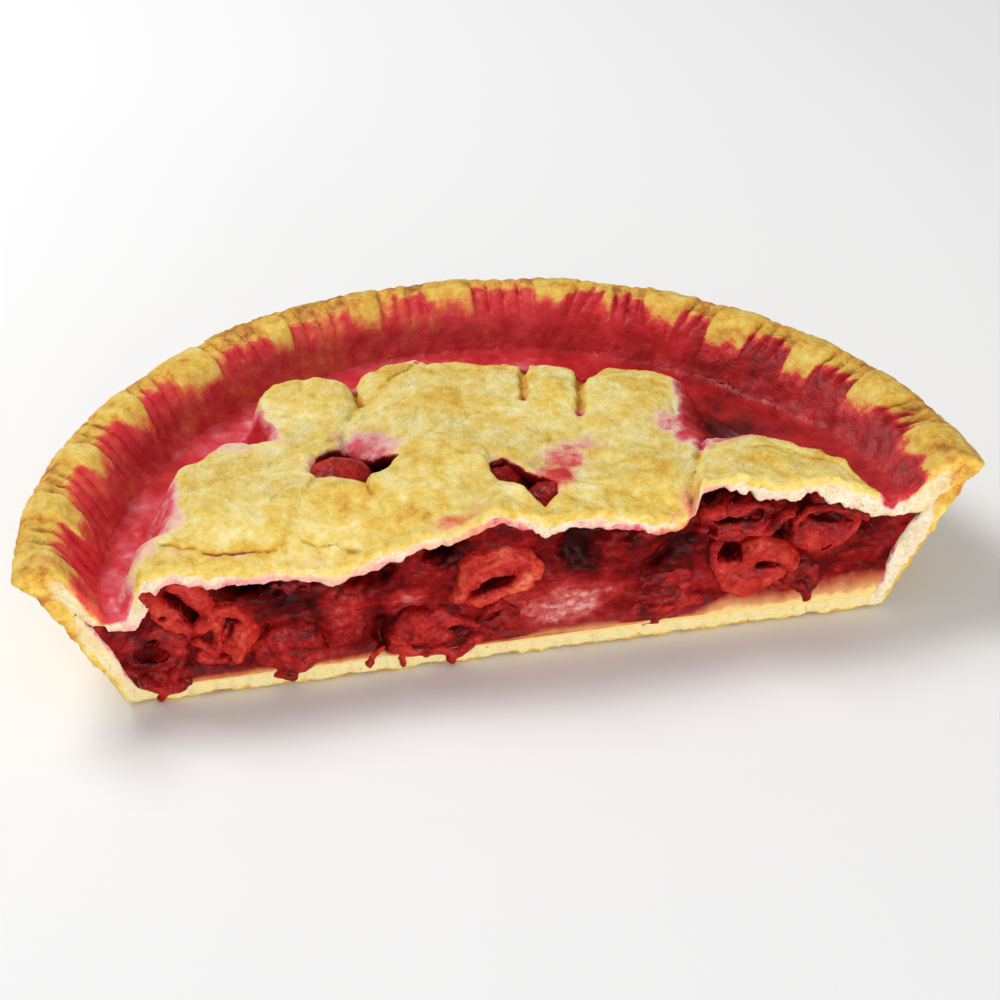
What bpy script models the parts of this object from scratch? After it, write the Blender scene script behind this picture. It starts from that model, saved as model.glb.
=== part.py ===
"""Half of a cherry pie, cut straight through the middle, standing on its base.

The pie's axis stands at the middle of the cut. Angles run round it from the right end of the cut (0)
over the back (90) to the left end (180 degrees). Sizes are in millimetres, and MM turns them into
metres. The origin is at the bottom centre of the half pie, so the axis lies CUT_TO_ORIGIN in front of it.
"""

import math

import bmesh
import bpy
import numpy as np
from mathutils import Matrix

MM = 0.001
TOUCH_GAP = 0.35  # between two pieces that lie on each other
CUT_TO_ORIGIN = 58.2

# The bottom crust is a turned shape: a flat base, a sloping wall and the rim's underside.
BASE_RADIUS = 96.0
CRUST = 5.0
HEEL = (98.6, 1.6)  # radius and height of the rounded edge of the base
WALL_FOOT = (99.8, 4.2)
WALL_TOP = (116.0, 35.0)
RIM_TIP = (121.0, 41.2)
SEAM_HEIGHT = 33.5  # where the lid's edge turns out over the wall
WALL_SLOPE = (WALL_TOP[0] - WALL_FOOT[0]) / (WALL_TOP[1] - WALL_FOOT[1])
WALL = CRUST + 0.3  # measured level, through the slope
INNER_HEEL = 3.0  # how high the rounding between the base and the wall reaches

# The lid dips into a moat inside the rim, and then climbs over the filling as a lumpy dome.
RIM_FOOT = 101.5
RIM_SHOULDER = 110.5
RIM_CREST = 113.0
CREST_END = 117.0
CREST_HEIGHT = 44.0
MOAT_FLOOR = 27.5
MOAT_FLOOR_RIGHT = 33.5
MOAT_RISE_ANGLE = 40.0  # the moat grows shallower from here to the right end
LID = 5.0
LID_ROOT = 1.5  # how far above the lid's lower surface it meets the wall
DOME_HEIGHT = 42.0
DOME_BORDER = 4.0  # between the grid of the dome's inside and its edge
SIDE_LEFT, SIDE_RIGHT = 5.0, 12.0  # how wide the dome's side is at the two ends
SIDE_WALL = 3.0  # how much further in the side's lower surface lies

# The edge of the dome, as angle and radius: lobes with notches between them.
DOME_EDGE = (
    (0, 90), (10, 80), (18, 77), (30, 82), (48, 82), (63, 70), (78, 72), (90, 75), (99, 81),
    (112, 73), (121, 88), (129, 86), (137, 71), (147, 75), (158, 86), (172, 89.5), (180, 93.5),
)

# The top of the lid along the cut, as place across and height.
FRONT_TOP = (
    (-92, 39), (-84, 40), (-74, 38), (-46, 34.5), (-34, 38), (-14, 42), (-5, 46), (8, 41),
    (20, 41), (38, 37), (44, 38), (46, 46.5), (56, 47), (68, 43), (79, 43.5), (91, 38.5),
)
FRONT_REACH = 9.0  # how far back the cut edge's own height counts
CRACK_SLANT = 0.35  # the crack at the step runs back to the right

# Swellings and hollows of the lid: across, back, height, and how wide they spread each way.
SWELLS = (
    (-15, 30, 2.5, 16, 14), (8, 18, 2.0, 11, 10), (65, 12, 3.5, 13, 13), (-35, 43, -2.0, 11, 7),
    (20, 38, -1.5, 12, 8), (-12, 60, 1.5, 12, 10), (-28, 64, -3.0, 3.5, 8), (62, 37, -3.5, 7, 10),
    (-72, 20, 1.0, 10, 12), (44, 50, 1.0, 12, 9),
)

# The rim is pressed with a fork: the middle angle of each press, and how many tines it shows.
FORK_PRESSES = (
    (171, 5), (157, 3), (144, 4), (130, 4), (118, 4), (105.5, 4), (93, 3), (80, 4), (66, 3),
    (57, 2), (42, 4), (32, 2), (22.5, 4), (10.5, 5),
)
TINE_STEP = 2.0  # degrees from groove to groove, about 4 mm on the rim
GROOVE_DEPTH = 1.7
GROOVE_FOOT = 106.0  # the grooves fade out at this radius, down the rim's inner slope
TIP_NOTCH = 0.7

# The grid that the lid's inside is made on.
COLUMNS, ROWS = 20, 9

# Openings through the lid: across, back, half length, half width, turn in degrees, roughness.
VENTS = (
    ("vent_left", -35.5, 30, 10.5, 7.2, 8, 0.13),
    ("vent_right", 5.8, 15.5, 9.5, 4.2, -50, 0.12),
    ("torn_hole", 57.5, 26, 5.5, 3.0, 15, 0.1),
    ("slit_inner", 15.4, 60, 7.5, 0.9, 76, 0),
    ("slit_outer", 28.6, 52.5, 9.0, 1.1, 78, 0),
)

CUTTER_HEIGHT, CUTTER_MIDDLE = 40.0, 45.0  # the openings' cutters run right through the lid

JUICE_DEPTH, JUICE_DEPTH_RIGHT = 3.4, 1.5

# Cherries that show at the cut, then those that show through the openings: across, back,
# height, then half sizes across, back and up, the tilt in degrees, and whether its pit hole shows.
CHERRIES = (
    (-89.6, 3.4, 15.0, 8.8, 7.5, 7.5, 10, True), (-80.5, 3.0, 27.2, 7.2, 7.0, 5.5, -18, True),
    (-70.0, 3.0, 18.5, 5.9, 7.0, 8.2, 12, False), (-56.5, 2.8, 13.2, 8.0, 7.2, 7.0, -8, False),
    (-57.0, 4.8, 25.2, 8.2, 6.8, 4.7, 0, False), (-43.0, 4.6, 17.5, 6.2, 6.8, 7.8, 5, False),
    (-22.0, 3.4, 12.2, 10.2, 8.0, 5.9, 3, False), (-6.0, 2.6, 26.8, 9.8, 7.0, 7.2, -18, True),
    (-4.0, 4.2, 11.7, 6.4, 6.5, 5.7, 0, False), (29.0, 4.8, 27.0, 8.4, 7.0, 5.8, 6, False),
    (40.0, 4.8, 14.0, 8.2, 7.0, 7.2, 0, False), (60.5, 2.6, 18.0, 9.5, 7.2, 8.2, 8, True),
    (56.5, 3.4, 33.0, 10.4, 7.5, 5.8, 0, True), (78.2, 3.6, 25.6, 9.0, 7.3, 6.4, 12, False),
    (75.5, 4.4, 12.3, 6.0, 6.5, 6.2, 0, False), (-39.5, 31.5, 29.0, 8.3, 8.3, 8.0, 0, False),
    (0.0, 21.0, 31.0, 6.5, 6.5, 6.5, 0, False), (13.0, 14.0, 30.0, 6.3, 6.5, 6.3, 0, False),
    (58.0, 27.5, 29.5, 7.0, 6.5, 6.5, 0, False),
)
VENT_POOL = 4.0  # how far the filling has sunk under each opening
POOL_SPREAD = 0.8  # how wide it has sunk, as a share of the opening's half sizes added up
CHERRY_SEGMENTS, CHERRY_RINGS = 10, 6
CHERRY_SWELL, CHERRY_DENT = 0.05, 0.04  # how uneven a cherry is, as shares of its width
PIT = (0.46, 0.75, 0.3)  # a pit hole's half sizes, as shares of its cherry's
PIT_PLACE = 0.75  # how far forward of its cherry's middle it lies, as a share of the half depth


def smooth(t):
    """0 below 0, 1 above 1, and an S between."""
    t = np.clip(t, 0.0, 1.0)
    return t * t * (3.0 - 2.0 * t)


def eased(table, at):
    """A table of (place, value), read with level stretches at its own points."""
    places = np.array([row[0] for row in table], float)
    values = np.array([row[1] for row in table], float)
    at = np.clip(at, places[0], places[-1])
    i = np.clip(np.searchsorted(places, at, side="right") - 1, 0, len(places) - 2)
    share = smooth((at - places[i]) / (places[i + 1] - places[i]))
    return values[i] + (values[i + 1] - values[i]) * share


def to_right_end(angle, left, right):
    """A value that changes from its usual one over the last stretch before the right end."""
    return left + (right - left) * smooth(1.0 - angle / MOAT_RISE_ANGLE)


def moat_floor(angle):
    return to_right_end(angle, MOAT_FLOOR, MOAT_FLOOR_RIGHT)


def dome_side(angle):
    return SIDE_RIGHT + (SIDE_LEFT - SIDE_RIGHT) * smooth(angle / 90.0)


def dome_height(x, y):
    """The dome's own height, before it falls to the moat."""
    z = np.full(np.shape(x), DOME_HEIGHT, float)
    for across, back, height, wide, deep in SWELLS:
        z = z + height * np.exp(-(((x - across) / wide) ** 2) - ((y - back) / deep) ** 2)
    near_cut = np.exp(-((y / FRONT_REACH) ** 2))
    return z + (eased(FRONT_TOP, x - CRACK_SLANT * y) - z) * near_cut


def groove(angle, radius):
    """How deep a fork groove is at this place of the rim."""
    depth = np.zeros(np.shape(angle), float)
    for middle, tines in FORK_PRESSES:
        for k in range(tines):
            centre = middle + (k - (tines - 1) / 2) * TINE_STEP
            near = np.clip(1.0 - np.abs(angle - centre) / (TINE_STEP / 2), 0.0, 1.0)
            depth = np.maximum(depth, near)
    return depth * smooth((radius - GROOVE_FOOT) / (RIM_CREST - GROOVE_FOOT))


def polar(x, y):
    return np.hypot(x, y), np.degrees(np.arctan2(y, x))


def lid_top(x, y):
    radius, angle = polar(x, y)
    floor, side = moat_floor(angle), dome_side(angle)
    on_dome = smooth((dome_edge_at(angle) + side / 2 - radius) / side)
    up_rim = smooth((radius - RIM_FOOT) / (RIM_CREST - RIM_FOOT))
    past_crest = smooth((radius - CREST_END) / (RIM_TIP[0] - CREST_END))
    z = floor + (dome_height(x, y) - floor) * on_dome + (CREST_HEIGHT - floor) * up_rim
    z = z - (CREST_HEIGHT - RIM_TIP[1]) * past_crest
    return z - GROOVE_DEPTH * groove(angle, radius) * (1.0 - past_crest)


def lid_under(x, y):
    """The lid's lower surface over the filling, out to where it meets the wall."""
    radius, angle = polar(x, y)
    floor, side = moat_floor(angle) - LID, dome_side(angle)
    on_dome = smooth((dome_edge_at(angle) - SIDE_WALL + side / 2 - radius) / side)
    return floor + (dome_height(x, y) - LID - floor) * on_dome


def filling_top(x, y):
    """The filling reaches the lid, but it has sunk a little under the openings."""
    z = lid_under(x, y) - TOUCH_GAP
    for _, across, back, length, width, _, rough in VENTS:
        if rough:
            reach = (length + width) * POOL_SPREAD
            z = z - VENT_POOL * np.exp(-((x - across) ** 2 + (y - back) ** 2) / reach**2)
    return z


def dome_edge_at(angle):
    return eased(DOME_EDGE, angle)


def wall_inside(height):
    """The radius of the wall's inner face at this height."""
    return WALL_FOOT[0] + WALL_SLOPE * (height - WALL_FOOT[1]) - WALL


def half_disc():
    """A grid over the half disc of radius 1: its front row lies along the cut."""
    u, v = np.meshgrid(np.linspace(1, -1, COLUMNS + 1), np.linspace(0, 1, ROWS + 1))
    return u * np.sqrt(1 - v * v / 2), v * np.sqrt(1 - u * u / 2)


def outline_of(grid):
    """A grid's side and back points, in order of their angle."""
    return [*grid[:, 0], *grid[-1, 1:-1], *grid[::-1, -1]]


GRID_X, GRID_Y = half_disc()
ANGLES = np.degrees(np.arctan2(outline_of(GRID_Y), outline_of(GRID_X)))


def fine_angles():
    """The coarse angles, with one on each fork groove and one on each ridge beside it."""
    marks = []
    for middle, tines in FORK_PRESSES:
        first = middle - (tines / 2) * TINE_STEP
        marks += [first + k * TINE_STEP / 2 for k in range(2 * tines + 1)]
    marks = np.array(marks)
    apart = np.abs(ANGLES[1:-1, None] - marks[None, :]).min(axis=1) > TINE_STEP / 2
    return np.unique(np.concatenate([marks, ANGLES[1:-1][apart], [0.0, 180.0]]).round(4))


def corner(bm, x, y, z):
    return bm.verts.new((x * MM, y * MM, z * MM))


def ring(bm, angles, radius, height):
    """A row of points round the pie. The height is a number, a row or a function of the place."""
    radius = np.broadcast_to(radius, angles.shape)
    x, y = radius * np.cos(np.radians(angles)), radius * np.sin(np.radians(angles))
    y[np.isin(angles, (0.0, 180.0))] = 0.0
    z = height(x, y) if callable(height) else np.broadcast_to(height, angles.shape)
    return [corner(bm, *place) for place in zip(x, y, z)]


def band(bm, inner, outer):
    for i in range(len(inner) - 1):
        bm.faces.new((inner[i], outer[i], outer[i + 1]))
        bm.faces.new((inner[i], outer[i + 1], inner[i + 1]))


def widening_band(bm, coarse, coarse_angles, fine, angles):
    """A band from a ring of few points to one of many."""
    nearest = [int(np.abs(coarse_angles - a).argmin()) for a in angles]
    nearest[0], nearest[-1] = 0, len(coarse) - 1
    for k in range(len(fine) - 1):
        bm.faces.new((coarse[nearest[k]], fine[k], fine[k + 1]))
        for step in range(nearest[k], nearest[k + 1]):
            bm.faces.new((coarse[step], fine[k + 1], coarse[step + 1]))


def grid_sheet(bm, radius, height):
    """The surface over the inside of a ring. Gives back its outline, in order of angle."""
    rho, turn = np.hypot(GRID_X, GRID_Y), np.degrees(np.arctan2(GRID_Y, GRID_X))
    reach = rho * radius(turn)
    x, y = reach * np.cos(np.radians(turn)), reach * np.sin(np.radians(turn))
    y[0, :] = 0.0
    z = height(x, y)
    verts = np.array(
        [[corner(bm, *place) for place in zip(*row)] for row in zip(x, y, z)], dtype=object
    )
    for i in range(ROWS):
        for j in range(COLUMNS):
            a, b, c, d = verts[i, j], verts[i, j + 1], verts[i + 1, j + 1], verts[i + 1, j]
            to_corner = ((a, b, d), (b, c, d)) if j < COLUMNS / 2 else ((a, b, c), (a, c, d))
            for triangle in to_corner:
                bm.faces.new(triangle)
    return outline_of(verts)


def new_object(name, bm, collection, material=None):
    """A part, or a cutter if it has no material."""
    mesh = bpy.data.meshes.new(name)
    bm.to_mesh(mesh)
    bm.free()
    obj = bpy.data.objects.new(name, mesh)
    obj.location.y = -CUT_TO_ORIGIN * MM
    collection.objects.link(obj)
    if material:
        mesh.materials.append(material)
    else:
        obj.hide_render = True
        obj.display_type = "WIRE"
    return obj


def closed(bm):
    """Joins the sheets where they meet, and fills the flat cut faces."""
    bmesh.ops.remove_doubles(bm, verts=bm.verts, dist=0.001 * MM)
    open_edges = [edge for edge in bm.edges if edge.is_boundary]
    bmesh.ops.holes_fill(bm, edges=open_edges, sides=0)
    bmesh.ops.recalc_face_normals(bm, faces=bm.faces)
    bmesh.ops.triangulate(bm, faces=bm.faces)
    return bm


def base_disc(bm, radius, height):
    """A flat half disc: one face from the ring round it. Gives back the ring."""
    edge = ring(bm, ANGLES, radius, height)
    bm.faces.new(edge)
    return edge


def junction(gap=0.0):
    """Radius and height of the line where the lid meets the wall's inner face."""
    height = moat_floor(ANGLES) - LID + LID_ROOT
    return wall_inside(height) - gap, height


def bottom_crust(collection, material):
    bm = bmesh.new()
    rings = [base_disc(bm, BASE_RADIUS, 0.0)]
    for radius, height in (HEEL, WALL_FOOT, WALL_TOP, RIM_TIP):
        rings.append(ring(bm, ANGLES, radius, height))
    for inner, outer in zip(rings, rings[1:]):
        band(bm, inner, outer)
    inside = [base_disc(bm, BASE_RADIUS - CRUST, CRUST)]
    inside.append(ring(bm, ANGLES, wall_inside(CRUST + INNER_HEEL), CRUST + INNER_HEEL))
    inside.append(ring(bm, ANGLES, *junction()))
    inside.append(ring(bm, ANGLES, wall_inside(SEAM_HEIGHT), SEAM_HEIGHT))
    inside.append(ring(bm, ANGLES, *RIM_TIP))
    for inner, outer in zip(inside, inside[1:]):
        band(bm, inner, outer)
    return new_object("bottom_crust", closed(bm), collection, material)


def lid_inner_radius(angle):
    return dome_edge_at(angle) - DOME_BORDER


def lid_rings():
    """The radii of the lid's rings between the dome and the rim, inner ones first."""
    edge, side = dome_edge_at(ANGLES), dome_side(ANGLES)
    foot = edge + side / 2
    return [edge, foot, (foot + RIM_FOOT) / 2]


def lid_surface(bm, height):
    """The lid's dome and moat out to the rim's foot, as one sheet. Gives back its last ring."""
    rings = [grid_sheet(bm, lid_inner_radius, height)]
    for radius in [*lid_rings(), RIM_FOOT]:
        rings.append(ring(bm, ANGLES, radius, height))
    for inner, outer in zip(rings, rings[1:]):
        band(bm, inner, outer)
    return rings[-1]


def rim_surface(bm, foot):
    """The fluted rim's top, from the moat's edge to the tip."""
    angles = fine_angles()
    middle = ring(bm, ANGLES, GROOVE_FOOT, lid_top)
    band(bm, foot, middle)
    inner, inner_angles = middle, ANGLES
    for radius in (RIM_SHOULDER, RIM_CREST, CREST_END):
        outer = ring(bm, angles, radius, lid_top)
        if inner_angles is ANGLES:
            widening_band(bm, inner, ANGLES, outer, angles)
        else:
            band(bm, inner, outer)
        inner, inner_angles = outer, angles
    notched = RIM_TIP[0] - TIP_NOTCH * groove(angles, np.full(angles.shape, RIM_CREST))
    tip = ring(bm, angles, notched, RIM_TIP[1] + TOUCH_GAP)
    band(bm, inner, tip)
    return tip


def top_crust(collection, material):
    bm = bmesh.new()
    tip = rim_surface(bm, lid_surface(bm, lid_top))
    under = lid_surface(bm, lid_under)
    radius, height = junction(TOUCH_GAP)
    meeting = ring(bm, ANGLES, radius, height)
    turning = ring(bm, ANGLES, wall_inside(SEAM_HEIGHT) - TOUCH_GAP, SEAM_HEIGHT + TOUCH_GAP)
    band(bm, under, meeting)
    band(bm, meeting, turning)
    widening_band(bm, turning, ANGLES, tip, fine_angles())
    return new_object("top_crust", closed(bm), collection, material)


def filling(collection, material):
    bm = bmesh.new()
    radius, height = junction(2 * TOUCH_GAP)
    meeting = ring(bm, ANGLES, radius, height - TOUCH_GAP)
    band(bm, lid_surface(bm, filling_top), meeting)
    low = CRUST + TOUCH_GAP
    bottom = base_disc(bm, BASE_RADIUS - CRUST - TOUCH_GAP, low)
    heel = ring(bm, ANGLES, wall_inside(low + INNER_HEEL) - 2 * TOUCH_GAP, low + INNER_HEEL)
    band(bm, bottom, heel)
    band(bm, heel, meeting)
    return new_object("filling", closed(bm), collection, material)


def raised_lid(radius):
    """The height of the juice's bed on a ring of the lid."""
    radius = np.broadcast_to(radius, ANGLES.shape)
    turn = np.radians(ANGLES)
    return lid_top(radius * np.cos(turn), radius * np.sin(turn)) + TOUCH_GAP


def shore(high_radius, low_radius, level):
    """Where the straight line between two of the lid's rings reaches the juice's level."""
    high, low = raised_lid(high_radius), raised_lid(low_radius)
    return low_radius + (level - low) / (high - low) * (high_radius - low_radius)


def moat_juice(collection, material):
    """Juice that lies in the moat up to a level, on the lid's own rings."""
    bm = bmesh.new()
    level = moat_floor(ANGLES) + to_right_end(ANGLES, JUICE_DEPTH, JUICE_DEPTH_RIGHT)
    edge, *bed = [*lid_rings(), RIM_FOOT]
    first = ring(bm, ANGLES, shore(edge, bed[0], level), level)
    last = ring(bm, ANGLES, shore(GROOVE_FOOT, RIM_FOOT, level), level)
    under = [ring(bm, ANGLES, radius, raised_lid(radius)) for radius in bed]
    rings = [first, *under, last, first]
    for one, other in zip(rings, rings[1:]):
        band(bm, one, other)
    return new_object("moat_juice", closed(bm), collection, material)


def cut(obj, cutter):
    """Takes a cutter, or all the cutters of a collection, out of an object."""
    modifier = obj.modifiers.new("cut", "BOOLEAN")
    modifier.operation = "DIFFERENCE"
    if isinstance(cutter, bpy.types.Collection):
        modifier.operand_type = "COLLECTION"
        modifier.collection = cutter
    else:
        modifier.object = cutter


def vent_cutter(name, across, back, length, width, turn, rough, cutters):
    """An upright prism with an uneven oval outline, or a straight slit where rough is 0."""
    sides = 14 if rough else 8
    bm = bmesh.new()
    bmesh.ops.create_cone(bm, cap_ends=True, segments=sides, radius1=1, radius2=1, depth=1)
    for vert in bm.verts:
        around = math.atan2(vert.co.y, vert.co.x)
        swell = 1.0 + rough * math.sin(3 * around + across) + rough * math.sin(5 * around)
        vert.co.x *= length * swell * MM
        vert.co.y *= width * swell * MM
        vert.co.z *= CUTTER_HEIGHT * MM
    spot = Matrix.Translation((across * MM, back * MM, CUTTER_MIDDLE * MM))
    bmesh.ops.transform(bm, verts=bm.verts, matrix=spot @ Matrix.Rotation(math.radians(turn), 4, "Z"))
    bmesh.ops.recalc_face_normals(bm, faces=bm.faces)
    return new_object(name, bm, cutters)


def cherry_shape(name, row, grown, collection, material=None):
    """One pitted cherry: an uneven ball, larger on every side by grown."""
    across, back, height, wide, deep, tall, tilt, _ = row
    bm = bmesh.new()
    bmesh.ops.create_uvsphere(bm, u_segments=CHERRY_SEGMENTS, v_segments=CHERRY_RINGS, radius=1)
    for vert in bm.verts:
        x, y, z = vert.co
        swell = 1.0 + CHERRY_SWELL * math.sin(3 * x + across)
        swell += CHERRY_DENT * math.sin(4 * z + 2 * y + across)
        vert.co.x = x * (wide * swell + grown) * MM
        vert.co.y = y * (deep + grown) * MM
        vert.co.z = z * (tall * swell + grown) * MM
    spot = Matrix.Translation((across * MM, back * MM, height * MM))
    bmesh.ops.transform(bm, verts=bm.verts, matrix=spot @ Matrix.Rotation(math.radians(tilt), 4, "Y"))
    return new_object(name, bm, collection, material)


def pit_cutter(name, row, cutters):
    """The hollow where the pit was, opening at the cherry's cut front."""
    across, back, height, wide, deep, tall, tilt, _ = row
    sizes = [size * share for size, share in zip((wide, deep, tall), PIT)]
    front = back - deep * PIT_PLACE
    return cherry_shape(name, (across, front, height, *sizes, tilt, False), 0.0, cutters)


def cherries(collection, cutters, material, around):
    pockets = new_collection("pockets", cutters)
    for number, row in enumerate(CHERRIES, 1):
        cherry = cherry_shape(f"cherry_{number:02d}", row, 0.0, collection, material)
        cherry_shape(f"pocket_{number:02d}", row, 2 * TOUCH_GAP, pockets)
        if row[-1]:
            cut(cherry, pit_cutter(f"pit_{number:02d}", row, cutters))
    cut(around, pockets)


def finish_of(name, colour, roughness):
    material = bpy.data.materials.new(name)
    material.use_nodes = True
    shader = material.node_tree.nodes["Principled BSDF"]
    shader.inputs["Base Color"].default_value = (*colour, 1.0)
    shader.inputs["Roughness"].default_value = roughness
    shader.inputs["Metallic"].default_value = 0.0
    return material


def new_collection(name, inside=None):
    collection = bpy.data.collections.new(name)
    (inside or bpy.context.scene.collection).children.link(collection)
    return collection


def main():
    for obj in list(bpy.data.objects):
        bpy.data.objects.remove(obj)
    parts, cutters = new_collection("half_cherry_pie"), new_collection("cutters")
    crust = finish_of("baked_crust", (0.77, 0.56, 0.17), 0.6)
    bottom_crust(parts, crust)
    lid, openings = top_crust(parts, crust), new_collection("openings", cutters)
    for vent in VENTS:
        vent_cutter(*vent, openings)
    cut(lid, openings)
    gel = filling(parts, finish_of("cherry_gel", (0.27, 0.015, 0.013), 0.2))
    cherries(parts, cutters, finish_of("cherry_flesh", (0.34, 0.022, 0.014), 0.3), gel)
    moat_juice(parts, finish_of("cherry_juice", (0.42, 0.02, 0.025), 0.12))


main()
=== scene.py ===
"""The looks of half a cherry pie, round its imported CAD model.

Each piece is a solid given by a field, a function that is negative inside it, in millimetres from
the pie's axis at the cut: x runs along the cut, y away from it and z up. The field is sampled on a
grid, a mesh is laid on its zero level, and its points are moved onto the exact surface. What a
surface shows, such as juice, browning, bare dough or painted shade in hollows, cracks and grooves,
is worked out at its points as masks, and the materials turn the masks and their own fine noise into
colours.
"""

import math

import bpy
import numpy as np
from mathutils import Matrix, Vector


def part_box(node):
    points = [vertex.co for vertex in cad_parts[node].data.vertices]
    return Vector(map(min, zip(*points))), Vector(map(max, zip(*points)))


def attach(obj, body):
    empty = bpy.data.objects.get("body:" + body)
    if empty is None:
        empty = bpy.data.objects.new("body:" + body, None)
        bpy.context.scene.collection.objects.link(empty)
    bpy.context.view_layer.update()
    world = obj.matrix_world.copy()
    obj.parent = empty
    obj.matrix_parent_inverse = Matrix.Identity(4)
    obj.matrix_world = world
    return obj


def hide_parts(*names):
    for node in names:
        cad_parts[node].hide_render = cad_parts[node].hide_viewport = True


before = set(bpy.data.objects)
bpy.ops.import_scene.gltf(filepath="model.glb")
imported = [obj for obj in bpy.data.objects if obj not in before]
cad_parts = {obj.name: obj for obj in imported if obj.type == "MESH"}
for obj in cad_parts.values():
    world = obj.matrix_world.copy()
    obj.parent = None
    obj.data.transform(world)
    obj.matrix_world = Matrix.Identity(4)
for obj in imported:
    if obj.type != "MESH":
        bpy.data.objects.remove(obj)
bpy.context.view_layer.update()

MM = 0.001
CRUST_LOW, CRUST_HIGH = (np.array(corner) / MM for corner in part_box("bottom_crust"))
RIM_RADIUS = CRUST_HIGH[0]
RIM_TIP_HEIGHT = CRUST_HIGH[2]
CUT_Y = CRUST_LOW[1]  # the cut's place in the frame

CRUST = 5.0  # how thick the bottom crust is

# The bottom crust's profile, from the base up: height and outer radius.
WALL = ((0.0, 95.5), (0.6, 97.2), (1.8, 98.7), (4.2, 99.8), (35.0, 116.0), (RIM_TIP_HEIGHT, RIM_RADIUS))
SEAM = ((104.0, 25.0), (110.5, 33.5), (117.5, 37.3))  # radius and height where the two crusts meet

# The lid: the moat inside the rim, and the rim's crest.
RIM_FOOT = ((0, 96.5), (14, 96.5), (30, 98), (60, 99.5), (150, 99.5), (180, 100.5))  # by angle
RIM_CREST, CREST_END = 113.0, 117.5
BOWL = 0.13  # how soon the moat's sides rise: 0 is a flat start, larger is more of a bowl
CREST_HEIGHT = 43.6
MOAT_FLOOR, MOAT_FLOOR_RIGHT, MOAT_RISE_ANGLE = 27.5, 33.5, 40.0
JUICE_DEPTH = ((0, 0.7), (40, 1.1), (90, 1.5), (140, 1.3), (165, 0.8), (180, 0.7))  # by angle
LID = 4.8
DOME_HEIGHT = 42.0
SIDE_WALL = 3.0  # how much further in the lower surface of the dome's side lies

# The dome's edge as angle and radius, and how wide its side is there.
DOME_EDGE = (
    (0, 93), (5, 90), (8.5, 85), (12, 79), (17, 74), (21, 69), (23.5, 67), (28, 68), (34, 71),
    (38, 75), (41, 79), (45, 82), (49, 82.5), (53, 81), (58, 77), (62, 72.5), (67, 74.5), (76, 75), (82, 76),
    (90, 78), (96, 79.5), (98.5, 83), (103, 83), (108.5, 80.5), (113, 78.5), (115.5, 84), (118, 88),
    (123.5, 91), (128.5, 90), (132, 86), (135, 78.5), (137.5, 76), (140.5, 79), (144, 84),
    (149, 86), (153, 90), (159, 91), (166, 88.5), (170, 89), (174, 93.5), (177, 94.5), (180, 94),
)
DOME_SIDE = (
    (0, 6), (12, 5), (21, 6), (25, 18), (32, 22), (40, 17), (47, 11), (56, 6), (128, 5), (133, 11),
    (140, 11), (145, 6), (150, 7), (160, 12), (169, 13), (174, 7), (180, 7),
)

# The cut edge of the lid, from left to right: place across, top and lower edge.
FRONT_TOP = (
    (-92, 39), (-84, 40), (-74, 38), (-60, 36.5), (-46, 34.5), (-34, 38), (-24, 40.5), (-14, 42),
    (-5, 46), (0, 44), (8, 41), (20, 41.5), (30, 39), (38, 37), (44, 38), (46, 46.5), (56, 47),
    (62, 45), (68, 43), (79, 43.5), (91, 38.5),
)
FRONT_UNDER = (
    (-90, 32), (-85, 35), (-75, 32), (-60, 32), (-52, 31), (-46, 28.5), (-38, 31), (-30, 33.5),
    (-24, 36), (-17, 36.5), (-10, 39), (-4, 41), (0, 39), (3, 38), (7, 35), (11, 36.5), (15, 37),
    (28, 34.5), (35, 31.5), (42, 32.5), (45, 36), (47, 43), (51, 43.5), (58, 41.5), (62, 38.5),
    (70, 37), (76, 39), (80, 35), (90, 31),
)
FRONT_REACH = 9.0
CRACK_SLANT = 0.35

# Swellings and hollows of the lid: across, back, height, and how wide they spread each way.
SWELLS = (
    (-15, 30, 2.5, 16, 14), (8, 18, 2.0, 11, 10), (65, 12, 3.5, 13, 13), (-35, 43, -2.0, 11, 7),
    (20, 38, -1.5, 12, 8), (-12, 60, 1.5, 12, 10), (-28, 64, -3.0, 3.5, 8), (62, 37, -3.5, 7, 10),
    (-72, 20, 1.0, 10, 12), (44, 50, 1.0, 12, 9),
    (-37, 20.5, 1.6, 9, 3.2), (-30, 38, -2.6, 6, 4), (0, 9, 1.4, 7, 3), (12, 22, -2.4, 6, 5),
    (-41, 64, 1.4, 12, 10), (-62, 34, -1.2, 9, 6), (22, 60, 1.4, 5.5, 8),
)

# Parts of the lid that stand proud of what is behind them: height, how soft the step is, outline.
FOLDS = (
    (2.2, 1.8, (
        (-24, 30), (-20, 35), (-13, 37), (-7, 35.5), (-2.5, 30), (-2, 22), (4, 12), (8, 0), (-30, 0),
        (-33, 22),
    )),
    (1.7, 1.8, (
        (-60, 33), (-52, 36.5), (-46, 43), (-40, 48), (-36.5, 47), (-36.5, 40), (-46, 34), (-46, 28),
        (-60, 0), (-80, 0), (-78, 25),
    )),
)

# Ridges in the moat's skin beside the dome: both ends, half width and height.
RIDGES = (
    ((63, 56), (68, 44), 2.2, 2.6), ((68, 44), (73, 30), 2.0, 3.4), ((73, 30), (79, 18), 2.2, 3.0),
    ((60, 60), (66, 58), 2.0, 1.4), ((79, 50), (74, 56), 2.0, 1.2), ((84, 36), (88, 24), 1.8, 1.2),
)

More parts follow.
